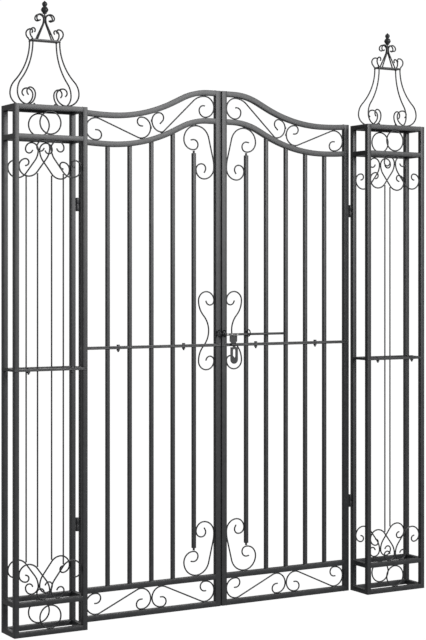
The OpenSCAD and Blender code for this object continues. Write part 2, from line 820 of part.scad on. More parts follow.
module hasp_flap() {
    w = hasp_span - 2 * hasp_knuckle - 2 * weld;
    plate_top = leaf_joint_z - 10;
    end_z = plate_top - 52;
    slot_w = 12;
    neck_w = w - 1;
    color(steel) difference() {
        union() {
            hasp_knuckle_at(-w / 2, w);
            hasp_plane(hasp_y - hasp_t / 2) difference() {
                union() {
                    translate([-hasp_w / 2, end_z]) square([hasp_w, plate_top - end_z]);
                    translate([0, end_z]) circle(d = hasp_w, $fn = 96);
                    translate([-neck_w / 2, end_z]) square([neck_w, leaf_joint_z - end_z]);
                }
                for (z = [end_z + 14, plate_top - 14]) translate([0, z])
                    circle(d = slot_w, $fn = 48);
                translate([-slot_w / 2, end_z + 14]) square([slot_w, plate_top - end_z - 28]);
            }
        }
        hasp_bore();
    }
}

pillar_posts(left);  // left_pillar_posts
pillar_upper_rails(left);  // left_pillar_upper_rails
pillar_lower_rails(left);  // left_pillar_lower_rails
pillar_flanges(left);  // left_pillar_flanges
pillar_rings(left);  // left_pillar_rings
pillar_upper_scrolls(left);  // left_pillar_upper_scrolls
pillar_lower_scrolls(left);  // left_pillar_lower_scrolls
pillar_rods(left);  // left_pillar_rods
finial_cap(left);  // left_finial_cap
finial_scrolls(left);  // left_finial_scrolls
finial_sprigs(left);  // left_finial_sprigs
pillar_posts(right);  // right_pillar_posts
pillar_upper_rails(right);  // right_pillar_upper_rails
pillar_lower_rails(right);  // right_pillar_lower_rails
pillar_flanges(right);  // right_pillar_flanges
pillar_rings(right);  // right_pillar_rings
pillar_upper_scrolls(right);  // right_pillar_upper_scrolls
pillar_lower_scrolls(right);  // right_pillar_lower_scrolls
pillar_rods(right);  // right_pillar_rods
finial_cap(right);  // right_finial_cap
finial_scrolls(right);  // right_finial_scrolls
finial_sprigs(right);  // right_finial_sprigs
pillar_bolts();
pillar_nuts();
finial_collars();
finial_knobs();
hinge_pintles();
hinge_washers();
hinge_knuckles(left);  // left_hinge_knuckles
hinge_stile(left);  // left_hinge_stile
meeting_stile(left);  // left_meeting_stile
crest_rails(left);  // left_crest_rails
lower_rails(left);  // left_lower_rails
leaf_bars(left);  // left_bars
leaf_flanges(left);  // left_leaf_flanges
crest_scrolls(left);  // left_crest_scrolls
corner_scrolls(left);  // left_corner_scrolls
lyre_scroll(left);  // left_lyre_scroll
base_scrolls(left);  // left_base_scrolls
leaf_bolts(left);  // left_leaf_bolts
leaf_nuts(left);  // left_leaf_nuts
hinge_knuckles(right);  // right_hinge_knuckles
hinge_stile(right);  // right_hinge_stile
meeting_stile(right);  // right_meeting_stile
crest_rails(right);  // right_crest_rails
lower_rails(right);  // right_lower_rails
leaf_bars(right);  // right_bars
leaf_flanges(right);  // right_leaf_flanges
crest_scrolls(right);  // right_crest_scrolls
corner_scrolls(right);  // right_corner_scrolls
lyre_scroll(right);  // right_lyre_scroll
base_scrolls(right);  // right_base_scrolls
leaf_bolts(right);  // right_leaf_bolts
leaf_nuts(right);  // right_leaf_nuts
bolt_keeper();
bolt_guides();
slide_bolt();
hasp_bracket();
hasp_pin();
hasp_flap();
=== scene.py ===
"""Looks for a double-leaf garden gate of welded and bolted steel tube and bar.

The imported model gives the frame. Each sub-assembly is made again as a workshop leaves it: tubes
with rolled corners, scrolls bent from one bar, rippled weld beads, threaded bolts and turned
knobs, all under a satin powder coat. Lengths are millimetres until a shape becomes a piece.
"""

from __future__ import annotations

import json
import logging
import math
from dataclasses import dataclass, field
from enum import Enum
from typing import Mapping, Sequence, Union

import bpy
from mathutils import Matrix, Vector

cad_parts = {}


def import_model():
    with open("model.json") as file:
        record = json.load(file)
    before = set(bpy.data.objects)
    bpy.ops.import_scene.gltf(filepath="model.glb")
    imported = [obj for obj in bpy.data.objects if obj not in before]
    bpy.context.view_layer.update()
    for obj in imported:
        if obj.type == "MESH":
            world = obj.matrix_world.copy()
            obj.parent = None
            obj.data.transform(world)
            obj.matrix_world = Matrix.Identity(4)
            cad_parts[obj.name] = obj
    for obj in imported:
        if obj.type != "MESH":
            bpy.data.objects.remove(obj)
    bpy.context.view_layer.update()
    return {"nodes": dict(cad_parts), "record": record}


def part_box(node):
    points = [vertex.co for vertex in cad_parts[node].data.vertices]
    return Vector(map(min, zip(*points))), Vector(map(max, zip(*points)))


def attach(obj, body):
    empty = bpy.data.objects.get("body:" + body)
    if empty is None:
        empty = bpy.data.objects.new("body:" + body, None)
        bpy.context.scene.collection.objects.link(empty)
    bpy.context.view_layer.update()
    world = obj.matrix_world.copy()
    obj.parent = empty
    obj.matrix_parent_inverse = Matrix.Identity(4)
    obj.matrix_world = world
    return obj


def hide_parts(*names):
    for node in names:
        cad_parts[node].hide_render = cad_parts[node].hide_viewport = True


LOG = logging.getLogger("garden_gate")
MM = 0.001
FLAT_SIDE = 1.7  # a section's side longer than this is a flat, not a facet of a curve

Bends = Sequence[tuple[float, float]]  # (radius, degrees), over 0 to the left, or (0, length)
Outline = Sequence[tuple[float, float]]
Colour = tuple[float, float, float]
Number = Union[float, "Signal"]


class Side(Enum):
    """Which pillar or leaf, as seen from the front."""

    LEFT = -1
    RIGHT = 1

    @property
    def word(self) -> str:
        """The side as it is written in node names."""
        return self.name.lower()

    @property
    def leaf(self) -> str:
        """The body of the leaf on this side."""
        return f"{self.word}_leaf"


class Slot(Enum):
    """The record's material slots."""

    TUBE = "tubework"
    SCROLL = "scrollwork"
    IRON = "ironmongery"
    FASTENER = "fasteners"


# ---- Finishes ----


class Signal:
    """A value on its way through a finish's nodes. Maths on it adds Math nodes."""

    def __init__(self, bench: Bench, socket: bpy.types.NodeSocket) -> None:
        """Wraps one output.

        Args:
            bench: Where the node stands.
            socket: The output that carries the value.
        """
        self.bench = bench
        self.socket = socket

    def _maths(self, operation: str, first: Number, second: Number) -> Signal:
        """One Math node of the given operation."""
        return self.bench.node("Math", {"operation": operation}, {0: first, 1: second})

    def __add__(self, other: Number) -> Signal:
        """Adds."""
        return self._maths("ADD", self, other)

    def __radd__(self, other: Number) -> Signal:
        """Adds, with the number first."""
        return self._maths("ADD", other, self)

    def __sub__(self, other: Number) -> Signal:
        """Subtracts."""
        return self._maths("SUBTRACT", self, other)

    def __rsub__(self, other: Number) -> Signal:
        """Subtracts from a number."""
        return self._maths("SUBTRACT", other, self)

    def __mul__(self, other: Number) -> Signal:
        """Multiplies."""
        return self._maths("MULTIPLY", self, other)

    def __rmul__(self, other: Number) -> Signal:
        """Multiplies, with the number first."""
        return self._maths("MULTIPLY", other, self)

    def step(self, low: float, high: float) -> Signal:
        """A soft step from 0 at low to 1 at high.

        Args:
            low: Where the step starts.
            high: Where it ends, which may be under low for a falling step.

        Returns:
            The step, from 0 to 1.
        """
        share = (self - low) * (1.0 / (high - low))
        return self.bench.node("Clamp", {}, {0: share, 1: 0.0, 2: 1.0})


class Bench:
    """The node tree of one finish."""

    def __init__(self, name: str) -> None:
        """Lays out an empty tree.

        Args:
            name: What the finish is called.
        """
        self.material = bpy.data.materials.new(name)
        self.material.use_nodes = True
        self.tree = self.material.node_tree
        self.tree.nodes.clear()
        self.place = self.node("TexCoord", output="Object")

    def node(
        self,
        kind: str,
        settings: Mapping[str, object] | None = None,
        inputs: Mapping[int | str, object] | None = None,
        output: int | str = 0,
    ) -> Signal:
        """Adds a node.

        Args:
            kind: Its type, without the ShaderNode in front.
            settings: Its own settings, made first.
            inputs: What each socket holds or is fed by.
            output: Which output is wanted.

        Returns:
            That output.
        """
        made = self.tree.nodes.new(f"ShaderNode{kind}")
        for name, value in (settings or {}).items():
            setattr(made, name, value)
        for key, value in (inputs or {}).items():
            if isinstance(value, Signal):
                self.tree.links.new(value.socket, made.inputs[key])
            else:
                made.inputs[key].default_value = value
        return Signal(self, made.outputs[output])

    def noise(self, per_metre: float, detail: float = 3.0) -> Signal:
        """A cloud of 0 to 1.

        Args:
            per_metre: How many lumps to a metre.
            detail: How many finer layers it has.

        Returns:
            The cloud.
        """
        return self.node(
            "TexNoise", {}, {"Vector": self.place, "Scale": per_metre, "Detail": detail}
        )

    def tint(self, mask: Signal, first: Signal | Colour, second: Signal | Colour) -> Signal:
        """Mixes two colours.

        Args:
            mask: 0 for the first and 1 for the second.
            first: A colour.
            second: A colour.

        Returns:
            The mix.
        """
        ends = [
            c if isinstance(c, Signal) else (*c, 1.0) for c in (first, second)
        ]
        return self.node(
            "Mix", {"data_type": "RGBA"}, {0: mask, 6: ends[0], 7: ends[1]}, output=2
        )

    def surface(self, **sockets: object) -> bpy.types.Material:
        """Ends the tree in one shader.

        Args:
            **sockets: What the shader's sockets hold, with _ for each space.

        Returns:
            The finished material.
        """
        named = {key.replace("_", " "): value for key, value in sockets.items()}
        shader = self.node("BsdfPrincipled", {}, named)
        self.node_out(shader)
        return self.material

    def node_out(self, shader: Signal) -> None:
        """Sends a shader to the surface."""
        end = self.tree.nodes.new("ShaderNodeOutputMaterial")
        self.tree.links.new(shader.socket, end.inputs["Surface"])


@dataclass(frozen=True)
class PowderCoat:
    """Satin powder coat, baked on over steel."""

    name: str
    colour: Colour = (0.022, 0.023, 0.025)
    dust_colour: Colour = (0.100, 0.096, 0.088)
    worn_colour: Colour = (0.065, 0.066, 0.070)
    roughness: float = 0.42
    peel: float = 0.12
    dust: float = 0.22
    wear: float = 0.25

    def make(self) -> bpy.types.Material:
        """Builds the finish.

        Returns:
            Its material.
        """
        bench = Bench(self.name)
        cloud = bench.noise(7.0, 4.0)
        patch = bench.noise(60.0, 3.0)
        peel = bench.noise(1500.0, 2.0)
        speck = bench.node(
            "TexVoronoi", {}, {"Vector": bench.place, "Scale": 420.0}, output="Distance"
        ).step(0.10, 0.04)
        geometry = bench.node("NewGeometry", output="Normal")
        upward = bench.node("SeparateXYZ", {}, {0: geometry}, output="Z").step(0.35, 0.95)
        settled = upward * patch.step(0.30, 0.70) * self.dust
        edge = bench.node("NewGeometry", output="Pointiness").step(0.53, 0.60)
        worn = edge * patch.step(0.42, 0.66) * self.wear
        deep = tuple(0.88 * c for c in self.colour)
        pale = tuple(1.14 * c for c in self.colour)
        coat = bench.tint(cloud.step(0.3, 0.7), deep, pale)
        rubbed = bench.tint(worn, coat, self.worn_colour)
        dusty = bench.tint(settled + speck * 0.06, rubbed, self.dust_colour)
        height = peel + speck * 0.6
        bump = bench.node(
            "Bump", {}, {"Strength": self.peel, "Distance": 0.0002, "Height": height}
        )
        rough = self.roughness + (patch - 0.5) * 0.07 + settled * 0.35 - worn * 0.12
        return bench.surface(Base_Color=dusty, Roughness=rough, Normal=bump)


@dataclass(frozen=True)
class RubbedSteel:
    """Powder coat that its rings have rubbed through to bare steel near its tip."""

    name: str
    coat_colour: Colour = (0.030, 0.031, 0.034)
    steel_colour: Colour = (0.42, 0.41, 0.40)
    worn_to: float = 0.105

    def make(self) -> bpy.types.Material:
        """Builds the finish.

        Returns:
            Its material.
        """
        bench = Bench(self.name)
        along = bench.node("SeparateXYZ", {}, {0: bench.place}, output="X")
        stretched = bench.node(
            "Mapping", {}, {"Vector": bench.place, "Scale": (18.0, 700.0, 700.0)}
        )
        scratch = bench.node(
            "TexNoise", {}, {"Vector": stretched, "Scale": 1.0, "Detail": 3.0}
        )
        patch = bench.noise(90.0)
        reach = along.step(self.worn_to + 0.03, self.worn_to - 0.02)
        bare = (scratch * 0.55 + patch * 0.45).step(0.50, 0.58) * reach * 0.85
        colour = bench.tint(bare, self.coat_colour, self.steel_colour)
        bump = bench.node(
            "Bump", {}, {"Strength": 0.2, "Distance": 0.0002, "Height": scratch}
        )
        return bench.surface(
            Base_Color=colour,
            Metallic=bare * 0.9,
            Roughness=0.40 - bare * 0.10 + patch * 0.08,
            Normal=bump,
        )


@dataclass(frozen=True)
class BlackZinc:
    """Blackened zinc plate, a little mottled, as on bought bolts."""

    name: str
    dark: Colour = (0.055, 0.056, 0.060)
    light: Colour = (0.125, 0.125, 0.130)

    def make(self) -> bpy.types.Material:
        """Builds the finish.

        Returns:
            Its material.
        """
        bench = Bench(self.name)
        mottle = bench.noise(240.0, 4.0)
        fine = bench.noise(2500.0, 2.0)
        edge = bench.node("NewGeometry", output="Pointiness").step(0.52, 0.60)
        mask = mottle.step(0.35, 0.70) * 0.7 + edge * 0.3
        bump = bench.node("Bump", {}, {"Strength": 0.15, "Distance": 0.0001, "Height": fine})
        return bench.surface(
            Base_Color=bench.tint(mask, self.dark, self.light),
            Metallic=0.75,
            Roughness=0.46 - mask * 0.12,
            Normal=bump,
        )


@dataclass(frozen=True)
class Finishes:
    """The materials of the gate, one to a slot, with the rubbed rod's own."""

    by_slot: Mapping[Slot, bpy.types.Material]
    rubbed: bpy.types.Material

    @classmethod
    def mix(cls) -> Finishes:
        """Builds them all.

        Returns:
            The finishes.
        """
        return cls(
            by_slot={
                Slot.TUBE: PowderCoat("coat_on_tube").make(),
                Slot.SCROLL: PowderCoat("coat_on_bar", roughness=0.36, dust=0.25).make(),
                Slot.IRON: PowderCoat("coat_on_ironmongery", wear=0.8, peel=0.3).make(),
                Slot.FASTENER: BlackZinc("black_zinc").make(),
            },
            rubbed=RubbedSteel("rubbed_rod").make(),
        )


# ---- Shapes ----


def moved(x: float = 0.0, y: float = 0.0, z: float = 0.0) -> Matrix:
    """A shift."""
    return Matrix.Translation((x, y, z))


def swung(axis: str, degrees: float) -> Matrix:
    """A turn about an axis through the origin."""
    return Matrix.Rotation(math.radians(degrees), 4, axis)


FLIP_X = Matrix.Diagonal((-1.0, 1.0, 1.0, 1.0))
FLIP_Y = Matrix.Diagonal((1.0, -1.0, 1.0, 1.0))
FLIP_Z = Matrix.Diagonal((1.0, 1.0, -1.0, 1.0))


def both_ways(height: float) -> list[Matrix]:
    """Nothing, and a mirror at a height."""
    return [Matrix(), moved(z=2 * height) @ FLIP_Z]


def round_outline(diameter: float, sides: int = 14) -> Outline:
    """The outline of a round bar.

    Args:
        diameter: Its diameter.
        sides: How many points it has.

    Returns:
        Its points, anticlockwise.
    """
    angles = [math.tau * i / sides for i in range(sides)]
    return [(diameter / 2 * math.cos(a), diameter / 2 * math.sin(a)) for a in angles]


def box_outline(
    width: float, height: float, corner: float = 1.2, steps: int = 3, shift: float = 0.0
) -> Outline:
    """The outline of a rolled tube or flat bar.

    Args:
        width: Its size along the first axis.
        height: Its size along the second.
        corner: The radius of its corners.
        steps: How many facets a corner has.
        shift: How far it lies off the path along the first axis.

    Returns:
        Its points, anticlockwise.
    """
    points = []
    for quarter in range(4):
        sx, sy = ((1, 1), (-1, 1), (-1, -1), (1, -1))[quarter]
        cx, cy = sx * (width / 2 - corner), sy * (height / 2 - corner)
        for i in range(steps + 1):
            a = math.pi / 2 * (quarter + i / steps)
            points.append((shift + cx + corner * math.cos(a), cy + corner * math.sin(a)))
    return points


@dataclass(frozen=True)
class Station:
    """One cross-section of a sweep, with its two axes and how much it swells."""

    at: Vector
    across: Vector
    up: Vector
    swell: float = 1.0


@dataclass(frozen=True)
class Pen:
    """A place on the XZ plane and the way it is heading, in degrees."""

    x: float
    z: float
    heading: float

    def ahead(self, length: float, aside: float = 0.0) -> Pen:
        """Moves forwards and to the left.

        Args:
            length: How far forwards.
            aside: How far to the left.

        Returns:
            The pen after the move.
        """
        a = math.radians(self.heading)
        return Pen(
            self.x + length * math.cos(a) - aside * math.sin(a),
            self.z + length * math.sin(a) + aside * math.cos(a),
            self.heading,
        )

    def bend(self, radius: float, degrees: float) -> Pen:
        """Bends round an arc, to the left where the radius is over 0.

        Args:
            radius: The radius of the arc.
            degrees: How far it turns.

        Returns:
            The pen after the bend.
        """
        turn = math.copysign(degrees, radius)
        hub = self.ahead(0.0, radius)
        turned = Pen(hub.x, hub.z, self.heading + turn)
        return turned.ahead(0.0, -radius)

    def follow(self, bends: Bends, sagitta: float = 0.03) -> list[Pen]:
        """Every place along a list of bends.

        Args:
            bends: The bends.
            sagitta: How far a chord may lie from its arc.

        Returns:
            The places, this one first.
        """
        pens: list[Pen] = [self]
        for radius, amount in bends:
            last = pens[-1]
            if radius == 0:
                pens.append(last.ahead(amount))
                continue
            chord = 2 * math.acos(1 - sagitta / abs(radius))
            count = max(2, math.ceil(amount / min(12.0, math.degrees(chord))))
            pens.extend(last.bend(radius, amount * i / count) for i in range(1, count + 1))
        return pens

    def back(self) -> Pen:
        """The same place, heading the other way."""
        return Pen(self.x, self.z, self.heading + 180)

    def station(self, swell: float = 1.0) -> Station:
        """Stands the bar's cross-section here, its first axis to the left of the heading.

        Args:
            swell: How much wider than the bar it is.

        Returns:
            The station.
        """
        a = math.radians(self.heading)
        return Station(
            Vector((self.x, 0, self.z)),
            Vector((-math.sin(a), 0, math.cos(a))),
            Vector((0, -1, 0)),
            swell,
        )


class Steelwork:
    """Closed shells, in millimetres, that become one piece."""

    def __init__(self) -> None:
        """Starts with nothing."""
        self.points: list[Vector] = []
        self.faces: list[tuple[int, ...]] = []
        self.curved: list[bool] = []

    def rings(
        self,
        rings: Sequence[Sequence[Vector]],
        place: Matrix,
        closed: bool,
        curved: Sequence[bool] = (),
    ) -> None:
        """Skins rings of points that run anticlockwise about the way they lead.

        Args:
            rings: The rings, each with as many points.
            place: Where they go.
            closed: Whether the last leads back to the first. If not, both ends are capped.
            curved: Whether each side of a ring is part of a curve, where not all are.
        """
        base, sides, count = len(self.points), len(rings[0]), len(rings)
        self.points.extend(place @ p for ring in rings for p in ring)
        made: list[tuple[int, ...]] = []
        for i in range(count if closed else count - 1):
            low, high = base + i * sides, base + (i + 1) % count * sides
            for j in range(sides):
                k = (j + 1) % sides
                made.append((low + j, low + k, high + k, high + j))
                self.curved.append(curved[j] if curved else True)
        if not closed:
            self.curved += [False, False]
            made.append(tuple(range(base + sides - 1, base - 1, -1)))
            made.append(tuple(range(base + (count - 1) * sides, base + count * sides)))
        if place.determinant() < 0:
            made = [face[::-1] for face in made]
        self.faces.extend(made)

    def sweep(
        self, stations: Sequence[Station], outline: Outline, place: Matrix, closed: bool = False
    ) -> None:
        """Carries an outline through stations.

        Args:
            stations: The cross-sections' places.
            outline: The cross-section.
            place: Where the result goes.
            closed: Whether it is a ring.
        """
        following = [*outline[1:], outline[0]]
        self.rings(
            [
                [s.at + s.swell * (u * s.across + v * s.up) for u, v in outline]
                for s in stations
            ],
            place,
            closed,
            [math.dist(p, q) < FLAT_SIDE for p, q in zip(outline, following)],
        )

    def bar(
        self,
        start: tuple[float, float, float],
        end: tuple[float, float, float],
        outline: Outline,
        place: Matrix = Matrix(),
        ease: float = 0.0,
    ) -> None:
        """A straight tube or bar along X, Y or Z.

        Args:
            start: The middle of one end.
            end: The middle of the other.
            outline: Its section, along X and Y if it stands, and with Z second if it lies.
            place: Where it goes.
            ease: How far its ends are eased in.
        """
        first, last = Vector(start), Vector(end)
        way = (last - first).normalized()
        across = Vector((0, 1, 0)) if abs(way.x) > 0.5 else Vector((1, 0, 0))
        up = way.cross(across)
        reach = max(max(abs(u), abs(v)) for u, v in outline)
        stations = [Station(first, across, up), Station(last, across, up)]
        if ease:
            small = 1 - ease / reach
            stations = [
                Station(first, across, up, small),
                Station(first + ease * way, across, up),
                Station(last - ease * way, across, up),
                Station(last, across, up, small),
            ]
        self.sweep(stations, outline, place)

    def bent(self, pens: Sequence[Pen], outline: Outline, place: Matrix, ease: float = 0.0) -> None:
        """A bar bent in its XZ plane.

        Args:
            pens: The places that it passes.
            outline: Its section, towards its left first.
            place: Where it goes.
            ease: How far its ends are eased in.
        """
        stations = [pen.station() for pen in pens]
        if ease:
            ends = [pens[0].ahead(ease).station(), pens[-1].ahead(-ease).station()]
            tips = [pens[0].station(0.78), pens[-1].station(0.78)]
            stations = [tips[0], ends[0], *stations[1:-1], ends[1], tips[1]]
        self.sweep(stations, outline, place)

    def hoop(self, radius: float, outline: Outline, place: Matrix, count: int = 72) -> None:
        """A ring about the Y axis.

        Args:
            radius: Its radius, on the centre line.
            outline: Its section.
            place: Where it goes.
            count: How many cross-sections it has.
        """
        stations = []
        for i in range(count):
            a = math.tau * i / count
            out = Vector((math.cos(a), 0, math.sin(a)))
            stations.append(Station(radius * out, out, Vector((0, 1, 0))))
        self.sweep(stations, outline, place, closed=True)

    def lathe(
        self,
        profile: Sequence[tuple[float, float]],
        place: Matrix,
        sides: int = 40,
        flats: float = 0.0,
    ) -> None:
        """A solid turned about Z, or a nut or bolt head if it has flats.

        Args:
            profile: Its radii and heights, from below.
            place: Where it goes.
            sides: How many points go round it.
            flats: The distance from its axis to its six flats.
        """
        turned = []
        for radius, height in profile:
            ring = []
            for i in range(sides):
                a = math.tau * i / sides
                hexagon = flats / math.cos(a % (math.pi / 3) - math.pi / 6) if flats else radius
                reach = min(radius, hexagon)
                ring.append(Vector((reach * math.cos(a), reach * math.sin(a), height)))
            turned.append(ring)
        self.rings(turned, place, closed=False)

    def thread(self, radius: float, low: float, high: float, place: Matrix) -> None:
        """A screw thread about Z with its chamfered end below.

        Args:
            radius: Its outer radius.
            low: The height of its end.
            high: The height where it goes into its nut.
            place: Where it goes.
        """
        pitch, depth, sides, per_turn = 1.25, 0.6, 20, 6
        count = math.ceil((high - low) / pitch * per_turn)
        turned = []
        for i in range(count + 1):
            z = low + (high - low) * i / count
            ring = []
            for j in range(sides):
                phase = (z / pitch + j / sides) % 1
                reach = min(radius - depth * abs(2 * phase - 1), radius - 1.2 + (z - low))
                a = math.tau * j / sides
                ring.append(Vector((reach * math.cos(a), reach * math.sin(a), z)))
            turned.append(ring)
        self.rings(turned, place, closed=False)

    def weld(self, start: Vector, end: Vector, place: Matrix, radius: float = 1.5) -> None:
        """A rippled bead of weld.

        Args:
            start: Where it starts.
            end: Where it ends.
            place: Where it goes.
            radius: Half its width.
        """
        way = end - start
        length = way.length
        way.normalize()
        across = way.orthogonal().normalized()
        up = way.cross(across)
        count = max(8, round(length / 0.55))
        stations = []
        for i in range(count + 1):
            s = i / count
            ends = math.sqrt(max(0.06, 1 - abs(2 * s - 1) ** max(2.0, length / 2)))
            ripple = 1 + 0.10 * math.sin(math.tau * length * s / 1.9) + 0.05 * math.sin(7.3 * s)
            stations.append(Station(start + s * length * way, across, up, ends * ripple))
        self.sweep(stations, round_outline(2 * radius, 8), place)

    def tack(self, x: float, z: float, upright: bool, place: Matrix, length: float = 9.0) -> None:
        """Two beads, before and behind, where a round bar meets a flat face or its twin.

        Args:
            x: Where they meet.
            z: The height where they meet.
            upright: Whether the face is upright.
            place: Where it goes.
            length: How long the beads are.
        """
        half = Vector((0, 0, length / 2)) if upright else Vector((length / 2, 0, 0))
        for y in (-2.1, 2.1):
            middle = Vector((x, y, z))
            self.weld(middle - half, middle + half, place, 1.45)

    def ring_weld(self, x: float, y: float, z: float, radius: float, place: Matrix) -> None:
        """A bead round the foot of an upright bar.

        Args:
            x: The bar's middle.
            y: The bar's middle.
            z: The height of what it stands on.
            radius: The bar's radius.
            place: Where it goes.
        """
        level = place @ moved(x, y, z) @ swung("X", 90)
        stations = []
        for i in range(28):
            a = math.tau * i / 28
            out = Vector((math.cos(a), 0, math.sin(a)))
            swell = 1 + 0.12 * math.sin(9 * a)
            stations.append(Station(radius * out, out, Vector((0, 1, 0)), swell))
        self.sweep(stations, round_outline(2.6, 8), level, closed=True)

    def piece(
        self, name: str, material: bpy.types.Material, slot: Slot, body: str, *nodes: str
    ) -> bpy.types.Object:
        """Turns the shells into a piece that stands for CAD nodes.

        Args:
            name: What it is called.
            material: Its finish.
            slot: The record's slot for that finish; not used.
            body: The body that it rides on.
            *nodes: The CAD nodes that it stands for.

        Returns:
            The piece.
        """
        mesh = bpy.data.meshes.new(name)
        mesh.from_pydata([tuple(p * MM) for p in self.points], [], self.faces)
        mesh.polygons.foreach_set("use_smooth", self.curved)
        mesh.set_sharp_from_angle(angle=math.radians(35))
        mesh.materials.append(material)
        made = bpy.data.objects.new(name, mesh)
        bpy.context.scene.collection.objects.link(made)
        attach(made, body)
        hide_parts(*nodes)
        LOG.info("%s: %d points on %s", name, len(self.points), body)
        return made


# ---- Layout ----


def node_span(node: str) -> tuple[Vector, Vector]:
    """The lowest and highest corner of a CAD node, in millimetres."""
    low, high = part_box(node)
    return low / MM, high / MM


@dataclass(frozen=True)
class Layout:
    """Sizes that the whole gate shares."""

    pillar_h: float
    pillar_w: float
    pillar_d: float
    leaf_w: float
    leaf_t: float
    leaf_peak: float
    leaf_joint: float
    floor_gap: float
    centre_gap: float
    hinge_gap: float
    hinge_heights: tuple[float, ...]
    wire: float = 6.0
    post: float = 20.0
    weld: float = 0.3

    @classmethod
    def read(cls) -> Layout:
        """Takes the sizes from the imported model.

        Returns:
            The layout.
        """
        post_low, post_high = node_span("right_pillar_posts")
        flat_low, flat_high = node_span("right_leaf_flanges")
        stile_low, stile_high = node_span("right_meeting_stile")
        hinge_low, hinge_high = node_span("hinge_pintles")
        lower = round(hinge_low.z, 2)
        pin_top = 2 * Hinges.barrel_h + Hinges.washer_t - 4
        return cls(
            pillar_h=round(post_high.z, 2),
            pillar_w=round(post_high.x - post_low.x, 2),
            pillar_d=round(post_high.y - post_low.y, 2),
            leaf_w=round(flat_high.x - flat_low.x, 2),
            leaf_t=round(flat_high.y - flat_low.y, 2),
            leaf_peak=round(stile_high.z, 2),
            leaf_joint=round((flat_high.z + flat_low.z) / 2, 2),
            floor_gap=round(stile_low.z, 2),
            centre_gap=round(2 * flat_low.x, 2),
            hinge_gap=round(post_low.x - flat_high.x, 2),
            hinge_heights=(lower, round(hinge_high.z - pin_top, 2)),
        )

    @property
    def pillar_x(self) -> float:
        """From the middle of the gate to the middle of a pillar."""
        return self.centre_gap / 2 + self.leaf_w + self.hinge_gap + self.pillar_w / 2

    @property
    def leaf_y(self) -> float:
        """The middle of a leaf's depth."""
        return (self.pillar_d - self.leaf_t) / 2

    @property
    def off_rail(self) -> float:
        """From a flat face to the centre line of a bar welded to it."""
        return self.wire / 2 + self.weld

    @property
    def off_twin(self) -> float:
        """From a plane of symmetry to the centre line of a bar welded to its twin."""
        return (self.wire + self.weld) / 2

    def leaf_place(self, side: Side) -> Matrix:
        """Puts what is drawn from the hinge edge of the left leaf on either leaf."""
        left = moved(-self.centre_gap / 2 - self.leaf_w, self.leaf_y)
        return left if side is Side.LEFT else FLIP_X @ left


@dataclass(frozen=True)
class Workshop:
    """What every sub-assembly is made with."""

    layout: Layout
    finishes: Finishes

    def deliver(self, work: Steelwork, slot: Slot, body: str, *nodes: str) -> None:
        """Hands over one piece that stands for its nodes, named after the first.

        Args:
            work: Its shells.
            slot: The slot of its finish.
            body: The body that it rides on.
            *nodes: The CAD nodes that it stands for.
        """
        work.piece(f"{nodes[0]}.made", self.finishes.by_slot[slot], slot, body, *nodes)


# ---- Pillars ----


